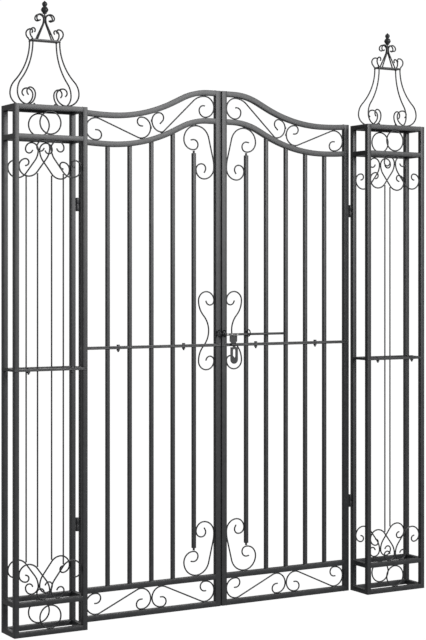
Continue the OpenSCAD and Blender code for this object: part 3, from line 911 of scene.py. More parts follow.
@dataclass(frozen=True)
class Pillar:
    """One open pillar of four posts, bolted together at half its height."""

    shop: Workshop
    side: Side
    band: float = 95.0
    flange_t: float = 5.0
    rod_x: float = 54.5
    apex_curl: Bends = ((28, 90), (26, 90), (15, 150), (0, 6))
    shoulder: tuple[float, float] = (70.0, 37.0)
    hip_r: float = 47.0
    lobe_r: float = 38.85

    @property
    def place(self) -> Matrix:
        """The pillar's axis."""
        return moved(self.side.value * self.shop.layout.pillar_x)

    @property
    def joint(self) -> float:
        """The height where the halves are bolted together."""
        return self.shop.layout.pillar_h / 2

    @property
    def face_y(self) -> float:
        """From the axis to the middle of the front or back tubes."""
        return (self.shop.layout.pillar_d - self.shop.layout.post) / 2

    @property
    def faces(self) -> list[Matrix]:
        """The front face and the back face."""
        front = moved(y=-self.face_y)
        return [self.place @ front, self.place @ FLIP_Y @ front]

    @property
    def field_low(self) -> float:
        """The top of the second rail from the ground."""
        return 2 * self.shop.layout.post + self.band

    @property
    def half_w(self) -> float:
        """Half the width between the posts."""
        return self.shop.layout.pillar_w / 2 - self.shop.layout.post

    def deliver(self, work: Steelwork, slot: Slot, *names: str) -> None:
        """Hands over a piece of this pillar."""
        nodes = [f"{self.side.word}_pillar_{name}" for name in names]
        self.shop.deliver(work, slot, "pillars", *nodes)

    def posts(self) -> None:
        """Makes the four corner tubes, each in two lengths."""
        size = self.shop.layout
        tube = box_outline(size.post, size.post)
        work = Steelwork()
        for x in (-1, 1):
            for y in (-self.face_y, self.face_y):
                across = x * (size.pillar_w - size.post) / 2
                for low, high in (
                    (0.0, self.joint - self.flange_t),
                    (self.joint + self.flange_t, size.pillar_h),
                ):
                    work.bar((across, y, low), (across, y, high), tube, self.place, 0.7)
        self.deliver(work, Slot.TUBE, "posts")

    def rails(self, name: str, heights: Sequence[float]) -> None:
        """Makes rings of four tubes with the seams that weld them to the posts.

        Args:
            name: What the node is called.
            heights: The underside of each ring.
        """
        size = self.shop.layout
        tube = box_outline(size.post, size.post)
        half_d = size.pillar_d / 2 - size.post
        post_x = (size.pillar_w - size.post) / 2
        lap = 1.0
        work = Steelwork()
        for z in heights:
            mid = z + size.post / 2
            for y in (-1, 1):
                for place in (self.place, self.place @ FLIP_X):
                    work.weld(
                        Vector((self.half_w, y * (size.pillar_d / 2 - 0.9), z + 1)),
                        Vector((self.half_w, y * (size.pillar_d / 2 - 0.9), z + size.post - 1)),
                        place,
                        1.1,
                    )
                    edges = (z, z + size.post) if z > 0 else (z + size.post,)
                    for edge in edges:
                        work.weld(
                            Vector((self.half_w - 0.3, y * (self.face_y - 8), edge)),
                            Vector((self.half_w - 0.3, y * (self.face_y + 8), edge)),
                            place,
                        )
                work.bar(
                    (-self.half_w - lap, y * self.face_y, mid),
                    (self.half_w + lap, y * self.face_y, mid),
                    tube,
                    self.place,
                )
            for x in (-post_x, post_x):
                work.bar((x, -half_d - lap, mid), (x, half_d + lap, mid), tube, self.place)
        self.deliver(work, Slot.TUBE, name)

    def flanges(self) -> None:
        """Makes the two frames of flat bar that bolt together."""
        size = self.shop.layout
        flat = box_outline(size.post, self.flange_t, 0.7, 2)
        half_d = size.pillar_d / 2 - size.post
        post_x = (size.pillar_w - size.post) / 2
        work = Steelwork()
        for z in (self.joint - self.flange_t / 2, self.joint + self.flange_t / 2):
            for y in (-self.face_y, self.face_y):
                work.bar(
                    (-size.pillar_w / 2, y, z), (size.pillar_w / 2, y, z), flat, self.place, 0.6
                )
            for x in (-post_x, post_x):
                work.bar((x, -half_d - 1, z), (x, half_d + 1, z), flat, self.place)
        for x in (-post_x, post_x):
            for y in (-self.face_y, self.face_y):
                for place in (self.place @ m for m in both_ways(self.joint)):
                    for dx, dy in ((0.0, -1.0), (0.0, 1.0), (-1.0, 0.0), (1.0, 0.0)):
                        edge = Vector((x + 9.6 * dx, y + 9.6 * dy, self.joint - self.flange_t))
                        run = Vector((7.0 * dy, 7.0 * dx, 0.0))
                        work.weld(edge - run, edge + run, place, 1.2)
        self.deliver(work, Slot.TUBE, "flanges")

    def rings(self) -> None:
        """Makes the rings in the bands, each held by two welds."""
        size = self.shop.layout
        radius = (self.band - 2 * size.weld - size.wire) / 2
        work = Steelwork()
        for face in self.faces:
            for way in both_ways(self.joint):
                middle = size.post + self.band / 2
                work.hoop(radius, round_outline(size.wire), face @ way @ moved(z=middle))
                for z in (size.post + 0.5, size.post + self.band - 0.5):
                    work.tack(0.0, z, False, face @ way)
        self.deliver(work, Slot.SCROLL, "rings")

    def apex(self) -> float:
        """The height where a scroll meets its twin."""
        size = self.shop.layout
        return size.pillar_h - self.field_low - size.off_rail - self.apex_curl[0][0]

    def stem(self) -> tuple[float, float]:
        """Works out the straight between a scroll's shoulder and its hip.

        Returns:
            The straight's length and the height of its lowest point.
        """
        size = self.shop.layout
        radius, turn = self.shoulder
        a, b = math.radians(turn), math.radians(90 - turn)
        across = self.half_w - size.off_rail - self.lobe_r - size.off_twin
        run = (across - radius * (1 - math.cos(a)) - self.hip_r * math.sin(b)) / math.sin(a)
        drop = radius * math.sin(a) + run * math.cos(a) + self.hip_r * (1 - math.cos(b))
        return run, self.apex() - drop

    def scrolls(self) -> None:
        """Makes the big scrolls that hang from the upper rail, and those that stand below."""
        size = self.shop.layout
        run, low = self.stem()
        start = Pen(-size.off_twin, self.apex(), 90)
        turn = self.shoulder[1]
        behind = (
            (-self.shoulder[0], turn),
            (0, run),
            (-self.hip_r, 90 - turn),
            (-self.lobe_r, 90),
            (-28, 90),
            (-13, 165),
            (0, 6),
        )
        pens = start.back().follow(behind)
        pens = [p.back() for p in reversed(pens[1:])] + start.follow(self.apex_curl)
        for name, way in zip(("upper_scrolls", "lower_scrolls"), both_ways(self.joint)):
            work = Steelwork()
            for face in self.faces:
                work.tack(0.0, self.apex(), True, face @ way, 12.0)
                for place in (face @ way, face @ way @ FLIP_X):
                    work.bent(pens, round_outline(size.wire), place, 0.8)
                    top = size.pillar_h - self.field_low - 0.5
                    work.tack(-size.off_twin - self.apex_curl[0][0], top, False, place)
                    work.tack(-self.half_w + 0.5, low + self.lobe_r, True, place, 12.0)
            self.deliver(work, Slot.SCROLL, name)

    def rods(self) -> None:
        """Makes the rods that stand on the flange and end under a scroll."""
        size = self.shop.layout
        low = self.stem()[1]
        hip_x = self.half_w - size.off_rail - self.lobe_r
        edge = hip_x - self.rod_x - size.wire / 2
        top = low + self.hip_r - math.sqrt((self.hip_r + size.off_rail) ** 2 - edge**2)
        foot = self.joint + self.flange_t
        work = Steelwork()
        for face in self.faces:
            for way in both_ways(self.joint):
                for place in (face @ way, face @ way @ FLIP_X):
                    work.bar(
                        (self.rod_x, 0, foot), (self.rod_x, 0, top), round_outline(size.wire), place
                    )
                    work.ring_weld(self.rod_x, 0, foot, size.wire / 2, place)
                    for y in (-1.8, 1.8):
                        work.weld(
                            Vector((self.rod_x - 3, y, top)),
                            Vector((self.rod_x + 3, y, top)),
                            place,
                        )
        self.deliver(work, Slot.SCROLL, "rods")

    def make(self) -> None:
        """Makes the whole pillar."""
        size = self.shop.layout
        self.posts()
        self.rails("upper_rails", (size.pillar_h - size.post, size.pillar_h - self.field_low))
        self.rails("lower_rails", (0.0, self.field_low - size.post))
        self.flanges()
        self.rings()
        self.scrolls()
        self.rods()


# ---- Finials ----


@dataclass(frozen=True)
class Finial:
    """One finial: a cap, four swelling legs, a collar, curls, sprigs and a knob."""

    shop: Workshop
    side: Side
    cap_t: float = 3.0
    flat: float = 24.0
    neck: tuple[float, float] = (57.0, 16.0)
    flank_r: float = 232.0
    belly_r: float = 72.0
    flank_turn: float = 41.5
    heel_r: float = 47.0
    collar_h: float = 7.0
    collar_over: float = 6.5
    sprig: tuple[float, float] = (34.0, 9.0)
    foot_curl: Bends = ((42, 90), (25, 90), (17, 90), (14, 45), (0, 5))

    @property
    def place(self) -> Matrix:
        """The pillar's axis, at its top."""
        return moved(self.side.value * self.shop.layout.pillar_x, z=self.shop.layout.pillar_h)

    @property
    def quarters(self) -> list[Matrix]:
        """Where each of four matching bars goes."""
        return [self.place @ a @ b for a in (Matrix(), FLIP_X) for b in (Matrix(), FLIP_Y)]

    @property
    def yaw(self) -> float:
        """The heading of a leg's plane, in degrees."""
        return math.degrees(math.atan2(self.neck[1], self.neck[0]))

    @property
    def leg_len(self) -> float:
        """From the cap to the top of a leg."""
        sine = math.sin(math.radians(self.flank_turn))
        return self.shop.layout.off_rail + self.heel_r + (self.flank_r + self.belly_r) * sine

    @property
    def foot_r(self) -> float:
        """From the axis to where a leg stands."""
        cosine = math.cos(math.radians(self.flank_turn))
        return math.hypot(*self.neck) + (self.flank_r + self.belly_r) * (1 - cosine) - self.heel_r

    def cap(self) -> None:
        """Makes the plate that closes the pillar and the H of flat bar on it."""
        size = self.shop.layout
        half_w, half_d = size.pillar_w / 2 - size.post, size.pillar_d / 2 - size.post
        yaw = math.radians(self.yaw)
        foot_x, foot_y = self.foot_r * math.cos(yaw), self.foot_r * math.sin(yaw)
        work = Steelwork()
        plate = box_outline(2 * half_d, self.cap_t, 0.5, 1)
        low = -1.5 * self.cap_t
        work.bar((-half_w, 0, low), (half_w, 0, low), plate, self.place)
        flat = box_outline(self.flat, self.cap_t, 0.6, 2)
        high = -0.5 * self.cap_t
        work.bar((-foot_x, 0, high), (foot_x, 0, high), flat, self.place)
        for x in (-foot_x, foot_x):
            reach = foot_y + self.flat / 2
            work.bar((x, -reach, high), (x, reach, high), flat, self.place, 0.6)
        self.shop.deliver(work, Slot.TUBE, "pillars", f"{self.side.word}_finial_cap")

    def legs(self) -> None:
        """Makes the four legs that swell from the collar to the cap and curl in."""
        size = self.shop.layout
        neck_r = math.hypot(*self.neck)
        bends = (
            (-self.flank_r, self.flank_turn),
            (self.belly_r, self.flank_turn),
            (self.heel_r, 90),
            *self.foot_curl,
        )
        pens = Pen(-neck_r, self.leg_len + 0.8, -90).follow(((0, 0.8), *bends))
        work = Steelwork()
        for quarter in self.quarters:
            place = quarter @ swung("Z", self.yaw)
            work.bent(pens, round_outline(size.wire), place, 0.8)
            work.tack(-self.foot_r, 0.4, False, place, 11.0)
            work.ring_weld(-neck_r, 0, self.leg_len + 0.6, size.wire / 2, place)
        self.shop.deliver(work, Slot.SCROLL, "pillars", f"{self.side.word}_finial_scrolls")

    def sprigs(self) -> None:
        """Makes the curls that roll out from the collar and the sprigs that hold the knob."""
        size = self.shop.layout
        foot = self.leg_len + 1 + self.collar_h
        neck_r = math.hypot(*self.neck)
        curl = ((-24, 60), (-18, 90), (-8, 90), (-8, 60))
        sprig = ((0, 61), (58, 25), (18, 90), (16.5, 90), (9, 90), (9, 60))
        yaw = math.degrees(
            math.atan2(self.sprig[1] - size.off_twin, self.sprig[0] - size.off_twin)
        )
        work = Steelwork()
        for quarter in self.quarters:
            place = quarter @ moved(z=foot) @ swung("Z", self.yaw)
            pens = Pen(-neck_r - 2, 3.2, 150).follow(curl)
            work.bent(pens, round_outline(size.wire), place, 0.8)
            work.tack(-neck_r - 3, 0.9, False, place, 7.0)
            place = quarter @ moved(-self.sprig[0], -self.sprig[1], foot) @ swung("Z", yaw)
            pens = Pen(0, 1.7, 65).follow(sprig)
            work.bent(pens, round_outline(size.wire), place, 0.8)
            work.ring_weld(0, 0, 0.3, size.wire / 2 + 0.2, place)
        self.shop.deliver(work, Slot.SCROLL, "pillars", f"{self.side.word}_finial_sprigs")

    def collar(self, work: Steelwork) -> None:
        """Adds the plate between the legs and the sprigs.

        Args:
            work: Where it is added.
        """
        half = self.neck[0] + self.collar_over / 2
        depth = 2 * self.neck[1] + self.collar_over
        z = self.leg_len + 1 + self.collar_h / 2
        plate = box_outline(depth, self.collar_h, 1.6, 3)
        work.bar((-half, 0, z), (half, 0, z), plate, self.place, 1.4)

    def knob(self, work: Steelwork) -> None:
        """Adds the turned knob.

        Args:
            work: Where it is added.
        """
        foot = self.leg_len + 1 + self.collar_h + 102
        profile = [(2.4, -12.0), (3.0, -11.2), (3.0, -0.4)]
        for i in range(104):
            z = i * 0.5
            reach = 2.6
            for middle, radius in ((16.0, 14.0), (38.5, 10.5), (48.5, 3.0)):
                reach = max(reach, math.sqrt(max(0.0, radius**2 - (z - middle) ** 2)))
            if z <= 4:
                reach = max(reach, 7.2 + 0.8 * math.sqrt(max(0.0, 1 - ((z - 2) / 2) ** 2)))
            if 13.5 <= z <= 18.5:
                reach = max(reach, 14.0 + math.sqrt(max(0.0, 1 - ((z - 16) / 2.5) ** 2)))
            if 24 <= z <= 34:
                reach = max(reach, 8.0 - 0.9 * math.sin(math.pi * (z - 24) / 10))
            profile.append((reach if z < 51.4 else 0.7, z))
        work.lathe(profile, self.place @ moved(z=foot), 64)

    def make(self) -> None:
        """Makes what belongs to this finial alone."""
        self.cap()
        self.legs()
        self.sprigs()


# ---- Leaves ----


@dataclass(frozen=True)
class Lobe:
    """The round end of a scroll: its centre, its radius, the radius at its stem, and its curl."""

    x: float
    z: float
    radius: float
    stem: float
    curl: Bends

    def bends(self, turn: int, heading: float) -> list[tuple[float, float]]:
        """Its bends from the straight inwards.

        Args:
            turn: 1 if the scroll turns left round it, -1 if right.
            heading: The heading of the straight, in degrees.

        Returns:
            The bends.
        """
        whole = [(self.stem, turn * heading), (self.radius, 90.0), *self.curl]
        return [(-turn * radius, amount) for radius, amount in whole]


def s_scroll(a: Lobe, b: Lobe, turn: int) -> list[Pen]:
    """An S from one lobe to another, with a straight between them.

    Args:
        a: The first lobe.
        b: The second.
        turn: 1 if it turns left round the first, -1 if right.

    Returns:
        The places along it.
    """
    ax, az = a.x, a.z - turn * (a.radius - a.stem)
    bx, bz = b.x, b.z + turn * (b.radius - b.stem)
    both = a.stem + b.stem
    run = math.sqrt((bx - ax) ** 2 + (bz - az) ** 2 - both**2)
    heading = math.degrees(math.atan2(bz - az, bx - ax) + turn * math.atan2(both, run))
    start = Pen(ax, az, heading).ahead(0.0, -turn * a.stem)
    behind = start.back().follow(a.bends(turn, heading))
    ahead = start.follow([(0, run), *b.bends(turn, heading)])
    return [p.back() for p in reversed(behind[1:])] + ahead


@dataclass(frozen=True)
class Leaf:
    """One leaf, in two halves that bolt together at two flat bars."""

    shop: Workshop
    side: Side
    stile_w: float = 25.0
    rail_h: float = 22.5
    square: float = 15.0
    spaces: int = 6
    base_gap: float = 90.5
    crest_low: float = 2048.0
    crest_drop: float = 117.0
    flat_t: float = 6.0
    lobe_r: float = 44.5
    hollow_r: float = 1400.0
    sweep_r: float = 650.0
    ogee_run: float = 46.5
    low_x: float = 137.0
    level_len: float = 32.0
    corner_turn: float = 76.4
    lyre_z: float = 1159.0
    pin_len: float = 8.7
    pin_d: float = 9.0

    @property
    def place(self) -> Matrix:
        """The hinge edge of the leaf."""
        return self.shop.layout.leaf_place(self.side)

    @property
    def clear_w(self) -> float:
        """The width between the stiles."""
        return self.shop.layout.leaf_w - 2 * self.stile_w

    @property
    def pitch(self) -> float:
        """The distance between the middles of the bars."""
        return self.clear_w / self.spaces

    @property
    def mid_x(self) -> float:
        """The middle of the leaf."""
        return self.shop.layout.leaf_w / 2

    @property
    def kick_z(self) -> float:
        """The underside of the second rail."""
        return self.shop.layout.floor_gap + self.rail_h + self.base_gap

    @property
    def joint(self) -> tuple[float, float]:
        """The underside and the top of the two flat bars."""
        middle = self.shop.layout.leaf_joint
        return middle - self.flat_t, middle + self.flat_t

    @property
    def arch_low(self) -> float:
        """The lowest height of the lower curved rail's top edge."""
        return self.crest_low - self.crest_drop

    @property
    def stile_touch_x(self) -> float:
        """The centre line of a bar welded to the meeting stile."""
        return self.shop.layout.leaf_w - self.stile_w - self.shop.layout.off_rail

    @property
    def brow(self) -> tuple[float, float, float]:
        """The ogee's upper radius and its turn, and the height where the top edge starts."""
        size = self.shop.layout
        rise = size.leaf_peak - self.crest_low
        width = size.leaf_w - self.stile_w - self.level_len - self.low_x
        both = (width**2 + rise**2 - self.ogee_run**2) / (2 * rise)
        turn = math.atan2(width, both - rise) - math.atan2(self.ogee_run, both)
        hollow = math.asin((self.low_x - self.stile_w) / self.hollow_r)
        start = self.crest_low + self.hollow_r * (1 - math.cos(hollow))
        return both - self.sweep_r, math.degrees(turn), start

    @property
    def lock_k(self) -> float:
        """The scale of the scrolls beside the meeting stile."""
        return (self.pitch - self.square / 2 - 2 * self.shop.layout.off_rail) / 85.73

    @property
    def corner(self) -> tuple[float, float, float, float]:
        """The upper corner scroll's start and radius, and its height above and below."""
        size, k = self.shop.layout, self.lock_k
        radius = 62 * k
        start = self.stile_touch_x - 25.2 * k
        x = start - radius * math.sin(math.radians(self.corner_turn))
        brow_r = self.brow[0]
        brow_x = size.leaf_w - self.stile_w - self.level_len
        brow_z = size.leaf_peak - self.crest_drop - brow_r
        reach = brow_r - self.rail_h - radius - size.off_rail
        high = brow_z + math.sqrt(reach**2 - (brow_x - x) ** 2)
        low = self.kick_z + self.rail_h + size.off_rail + radius
        return start, radius, high, low

    @property
    def short_bar(self) -> tuple[float, float, float]:
        """The short bar's place, its foot and its top, without its pins."""
        _, _, high, low = self.corner
        top = high + 2 - 42 * self.lock_k - self.shop.layout.off_rail - self.pin_len
        top -= self.shop.layout.weld
        return self.stile_w + (self.spaces - 1) * self.pitch, low + high - top, top

    def deliver(self, work: Steelwork, slot: Slot, name: str) -> None:
        """Hands over a piece of this leaf."""
        self.shop.deliver(work, slot, self.side.leaf, f"{self.side.word}_{name}")

    def stiles(self) -> None:
        """Makes the hinge stile and the meeting stile, each in two lengths."""
        size = self.shop.layout
        tube = box_outline(self.stile_w, size.leaf_t, 1.4)
        for name, x, top in (
            ("hinge_stile", self.stile_w / 2, self.brow[2]),
            ("meeting_stile", size.leaf_w - self.stile_w / 2, size.leaf_peak),
        ):
            work = Steelwork()
            for low, high in ((size.floor_gap, self.joint[0]), (self.joint[1], top)):
                work.bar((x, 0, low), (x, 0, high), tube, self.place, 0.8)
            self.deliver(work, Slot.TUBE, name)

    def rail_seams(self, work: Steelwork, x: float, low: float) -> None:
        """Adds the seams of one rail's end on a stile.

        Args:
            work: Where they are added.
            x: Where the rail ends.
            low: The rail's underside there.
        """
        front = self.shop.layout.leaf_t / 2
        for y in (0.9 - front, front - 0.9):
            work.weld(
                Vector((x, y, low + 1)), Vector((x, y, low + self.rail_h - 1)), self.place, 1.1
            )
        for z in (low, low + self.rail_h):
            work.weld(Vector((x, 2 - front, z)), Vector((x, front - 2, z)), self.place)

    def curved_rails(self) -> None:
        """Makes the two rails that sweep up to the meeting stile."""
        size = self.shop.layout
        brow_r, turn, start = self.brow
        hollow = math.degrees(math.asin((self.low_x - self.stile_w) / self.hollow_r))
        bends = (
            (self.hollow_r, hollow),
            (self.sweep_r, turn),
            (0, self.ogee_run),
            (-brow_r, turn),
            (0, self.level_len + 0.8),
        )
        tube = box_outline(self.rail_h, size.leaf_t, 1.4, 3, -self.rail_h / 2)
        work = Steelwork()
        for drop in (0.0, self.crest_drop):
            first = Pen(self.stile_w, start - drop, -hollow).ahead(-0.8)
            work.bent(first.follow(((0, 0.8), *bends), 0.02), tube, self.place)
            self.rail_seams(work, self.stile_w, start - drop - self.rail_h)
            high = size.leaf_peak - drop - self.rail_h
            self.rail_seams(work, size.leaf_w - self.stile_w, high)
        self.deliver(work, Slot.TUBE, "crest_rails")

    def lower_rails(self) -> None:
        """Makes the two straight rails."""
        size = self.shop.layout
        tube = box_outline(size.leaf_t, self.rail_h, 1.4)
        work = Steelwork()
        far = size.leaf_w - self.stile_w
        for low in (size.floor_gap, self.kick_z):
            z = low + self.rail_h / 2
            work.bar((self.stile_w - 0.8, 0, z), (far + 0.8, 0, z), tube, self.place)
            self.rail_seams(work, self.stile_w, low)
            self.rail_seams(work, far, low)
        self.deliver(work, Slot.TUBE, "lower_rails")

    def bars(self) -> None:
        """Makes the upright bars, the last of them short and pinned to the corner scrolls."""
        tube = box_outline(self.square, self.square, 1.1)
        low, high = self.joint
        kick = self.kick_z + self.rail_h
        half = self.square / 2
        work = Steelwork()
        for i in range(1, self.spaces - 1):
            x = self.stile_w + i * self.pitch
            radius = self.hollow_r if x < self.low_x else self.sweep_r
            reach = (radius + self.rail_h) ** 2 - (x - self.low_x) ** 2
            under = self.arch_low + radius - math.sqrt(reach)
            work.bar((x, 0, kick), (x, 0, low), tube, self.place)
            work.bar((x, 0, high), (x, 0, under + 1.5), tube, self.place)
            for z in (kick, low, high, under):
                for y in (-half, half):
                    work.weld(Vector((x - 6, y, z)), Vector((x + 6, y, z)), self.place, 1.3)
        x, foot, top = self.short_bar
        pin = round_outline(self.pin_d, 20)
        work.bar((x, 0, foot), (x, 0, low), tube, self.place, 0.8)
        work.bar((x, 0, high), (x, 0, top), tube, self.place, 0.8)
        work.bar((x, 0, foot + 2), (x, 0, foot - self.pin_len), pin, self.place)
        work.bar((x, 0, top - 2), (x, 0, top + self.pin_len), pin, self.place)
        for z in (foot, top):
            work.ring_weld(x, 0, z, self.pin_d / 2, self.place)
        for z in (low, high):
            for y in (-half, half):
                work.weld(Vector((x - 6, y, z)), Vector((x + 6, y, z)), self.place, 1.3)
        self.deliver(work, Slot.TUBE, "bars")

    def flat_bars(self) -> None:
        """Makes the two flat bars that bolt together across the leaf."""
        size = self.shop.layout
        flat = box_outline(size.leaf_t, self.flat_t, 0.7, 2)
        work = Steelwork()
        for z in (self.joint[0] + self.flat_t / 2, self.joint[1] - self.flat_t / 2):
            work.bar((0, 0, z), (size.leaf_w, 0, z), flat, self.place, 0.6)
        self.deliver(work, Slot.TUBE, "leaf_flanges")

    def bar_scroll(self, work: Steelwork, pens: Sequence[Pen], place: Matrix) -> None:
        """Adds one scroll of round bar."""
        work.bent(pens, round_outline(self.shop.layout.wire), place, 0.8)

    def lobe_welds(self, work: Steelwork, lobe: Lobe, out: int, up: int, place: Matrix) -> None:
        """Adds the welds that hold a lobe at its side and above or below it.

        Args:
            work: Where they are added.
            lobe: The lobe.
            out: 1 if its side weld is to the right, -1 if to the left.
            up: 1 if its other weld is above, -1 if below.
            place: Where they go.
        """
        reach = lobe.radius + self.shop.layout.off_rail - 0.5
        work.tack(lobe.x + out * reach, lobe.z, True, place, 11.0)
        work.tack(lobe.x, lobe.z + up * reach, False, place, 11.0)

    def crest_scrolls(self) -> None:
        """Makes the two scrolls between the curved rails."""
        size, r = self.shop.layout, self.lobe_r
        inner = self.crest_drop - self.rail_h - size.wire - 2 * size.weld - r
        brow_r = self.brow[0]
        brow_x = size.leaf_w - self.stile_w - self.level_len

        def on_arch(x: float, radius: float) -> float:
            """The height of a circle that stands on the lower curved rail."""
            reach = (self.sweep_r - radius - size.off_rail) ** 2 - (x - self.low_x) ** 2
            return self.arch_low + self.sweep_r - math.sqrt(reach)

        def under_crest(x: float, radius: float) -> float:
            """The height of a circle that hangs under the upper curved rail."""
            reach = (self.hollow_r + self.rail_h + radius + size.off_rail) ** 2
            return self.crest_low + self.hollow_r - math.sqrt(reach - (x - self.low_x) ** 2)

        def under_brow(x: float, radius: float) -> float:
            """The height of a circle that hangs under the brow."""
            reach = (brow_r - self.rail_h - radius - size.off_rail) ** 2 - (brow_x - x) ** 2
            return size.leaf_peak - brow_r + math.sqrt(reach)

        ax = self.stile_w + size.off_rail + r
        bx, cx = self.mid_x - size.off_twin - r, self.mid_x + size.off_twin + r
        dx = self.stile_touch_x - r
        c_stem, d_stem = 16.0, 78.0
        a = Lobe(ax, under_crest(ax, r), r, r, ((inner, 90), (0, 6), (20, 180), (0, 8)))
        b = Lobe(bx, on_arch(bx, r), r, r, ((41, 90), (0, 2), (18, 180), (0, 8)))
        c_curl = ((34, 90), (20, 135), (0, 16))
        c = Lobe(cx, on_arch(cx, c_stem) + r - c_stem, r, c_stem, c_curl)
        d_curl = ((42.6, 90), (28, 90), (20, 100), (0, 4))
        d = Lobe(dx, under_brow(dx, d_stem) + d_stem - r, r, d_stem, d_curl)
        work = Steelwork()
        self.bar_scroll(work, s_scroll(a, b, -1), self.place)
        self.bar_scroll(work, s_scroll(c, d, 1), self.place)
        for lobe, out, up in ((a, -1, 1), (b, 1, -1), (c, -1, -1), (d, 1, 1)):
            self.lobe_welds(work, lobe, out, up, self.place)
        self.deliver(work, Slot.SCROLL, "crest_scrolls")

    def base_scrolls(self) -> None:
        """Makes the two scrolls between the straight rails, one the other's mirror image."""
        size, r = self.shop.layout, self.lobe_r
        inner = self.base_gap - size.wire - 2 * size.weld - r
        curl = ((inner, 90), (0, 6), (20, 180), (0, 8))
        low = size.floor_gap + self.rail_h + size.off_rail + r
        high = self.kick_z - size.off_rail - r
        a = Lobe(r + size.off_rail - self.clear_w / 2, low, r, r, curl)
        b = Lobe(-size.off_twin - r, high, r, r, curl)
        work = Steelwork()
        for way in (Matrix(), FLIP_X):
            place = self.place @ moved(self.mid_x) @ way
            self.bar_scroll(work, s_scroll(a, b, 1), place)
            self.lobe_welds(work, a, -1, -1, place)
            self.lobe_welds(work, b, 1, 1, place)
        self.deliver(work, Slot.SCROLL, "base_scrolls")

    def corner_scrolls(self) -> None:
        """Makes the scrolls that roll over the short bar's ends and hang beside the stile."""
        size, k = self.shop.layout, self.lock_k
        x, radius, high, low = self.corner
        turn = self.corner_turn
        start = Pen(x, high + radius * math.cos(math.radians(turn)), 180 - turn)
        ahead = ((radius, turn), (58 * k, 90), (42 * k, 90), (0, 4), (21 * k, 190), (0, 10))
        behind = (
            (0, 89 * k),
            (-150 * k, 90 - turn),
            (0, 3),
            (-48 * k, 90),
            (-37.5 * k, 90),
            (-25 * k, 90),
            (0, 2),
            (-19 * k, 120),
            (0, 10),
        )
        tail = start.back().follow(behind)
        pens = [p.back() for p in reversed(tail[1:])] + start.follow(ahead)
        foot = start.back().follow(behind[:3])[-1]
        bar_x, _, bar_top = self.short_bar
        work = Steelwork()
        for way in both_ways((high + low) / 2):
            place = self.place @ way
            self.bar_scroll(work, pens, place)
            work.tack(self.stile_touch_x + size.off_rail - 0.5, foot.z, True, place, 14.0)
            crown = x - radius * math.sin(math.radians(turn))
            work.tack(crown, high + radius + size.off_rail - 0.4, False, place, 11.0)
            work.ring_weld(bar_x, 0, bar_top + self.pin_len - 0.4, self.pin_d / 2 - 0.6, place)
        self.deliver(work, Slot.SCROLL, "corner_scrolls")

    def lyre(self) -> None:
        """Makes the lyre against the meeting stile, cut where the leaf's halves meet."""
        size, k = self.shop.layout, self.lock_k
        bends = ((94 * k, 42.1), (-94 * k, 42.1), (-37 * k, 180), (-19 * k, 160), (0, 6))
        waist = Pen(self.stile_touch_x - 25.2 * k, self.lyre_z, 90)
        below = waist.back().follow([(-radius, amount) for radius, amount in bends])
        pens = [p.back() for p in reversed(below[1:])] + waist.follow(bends)
        low, high = self.joint
        cuts = [self.cut_at(pens, z) for z in (low + 0.2, high - 0.2)]
        under = [*pens[: cuts[0][0]], cuts[0][1]]
        over = [cuts[1][1], *pens[cuts[1][0] :]]
        work = Steelwork()
        self.bar_scroll(work, under, self.place)
        self.bar_scroll(work, over, self.place)
        for z, (_, pen) in ((low, cuts[0]), (high, cuts[1])):
            work.ring_weld(pen.x, 0, z, size.wire / 2, self.place)
        rise = 2 * 94 * k * math.sin(math.radians(42.1))
        for z in (self.lyre_z - rise, self.lyre_z + rise):
            work.tack(self.stile_touch_x + size.off_rail - 0.5, z, True, self.place, 14.0)
        self.deliver(work, Slot.SCROLL, "lyre_scroll")

    @staticmethod
    def cut_at(pens: Sequence[Pen], z: float) -> tuple[int, Pen]:
        """Where a scroll passes a height on its way up its middle.

        Args:
            pens: The places along it.
            z: The height.

        Returns:
            The index of the first place above it, and the place at it.
        """
        middle = min(
            (i for i in range(1, len(pens)) if pens[i - 1].z < z <= pens[i].z),
            key=lambda i: abs(pens[i].heading % 360 - 90),
        )
        first, last = pens[middle - 1], pens[middle]
        share = (z - first.z) / (last.z - first.z)
        x = first.x + share * (last.x - first.x)
        return middle, Pen(x, z, first.heading + share * (last.heading - first.heading))

    def make(self) -> None:
        """Makes the whole leaf."""
        self.stiles()
        self.curved_rails()
        self.lower_rails()
        self.bars()
        self.flat_bars()
        self.crest_scrolls()
        self.base_scrolls()
        self.corner_scrolls()
        self.lyre()


# ---- Fasteners ----


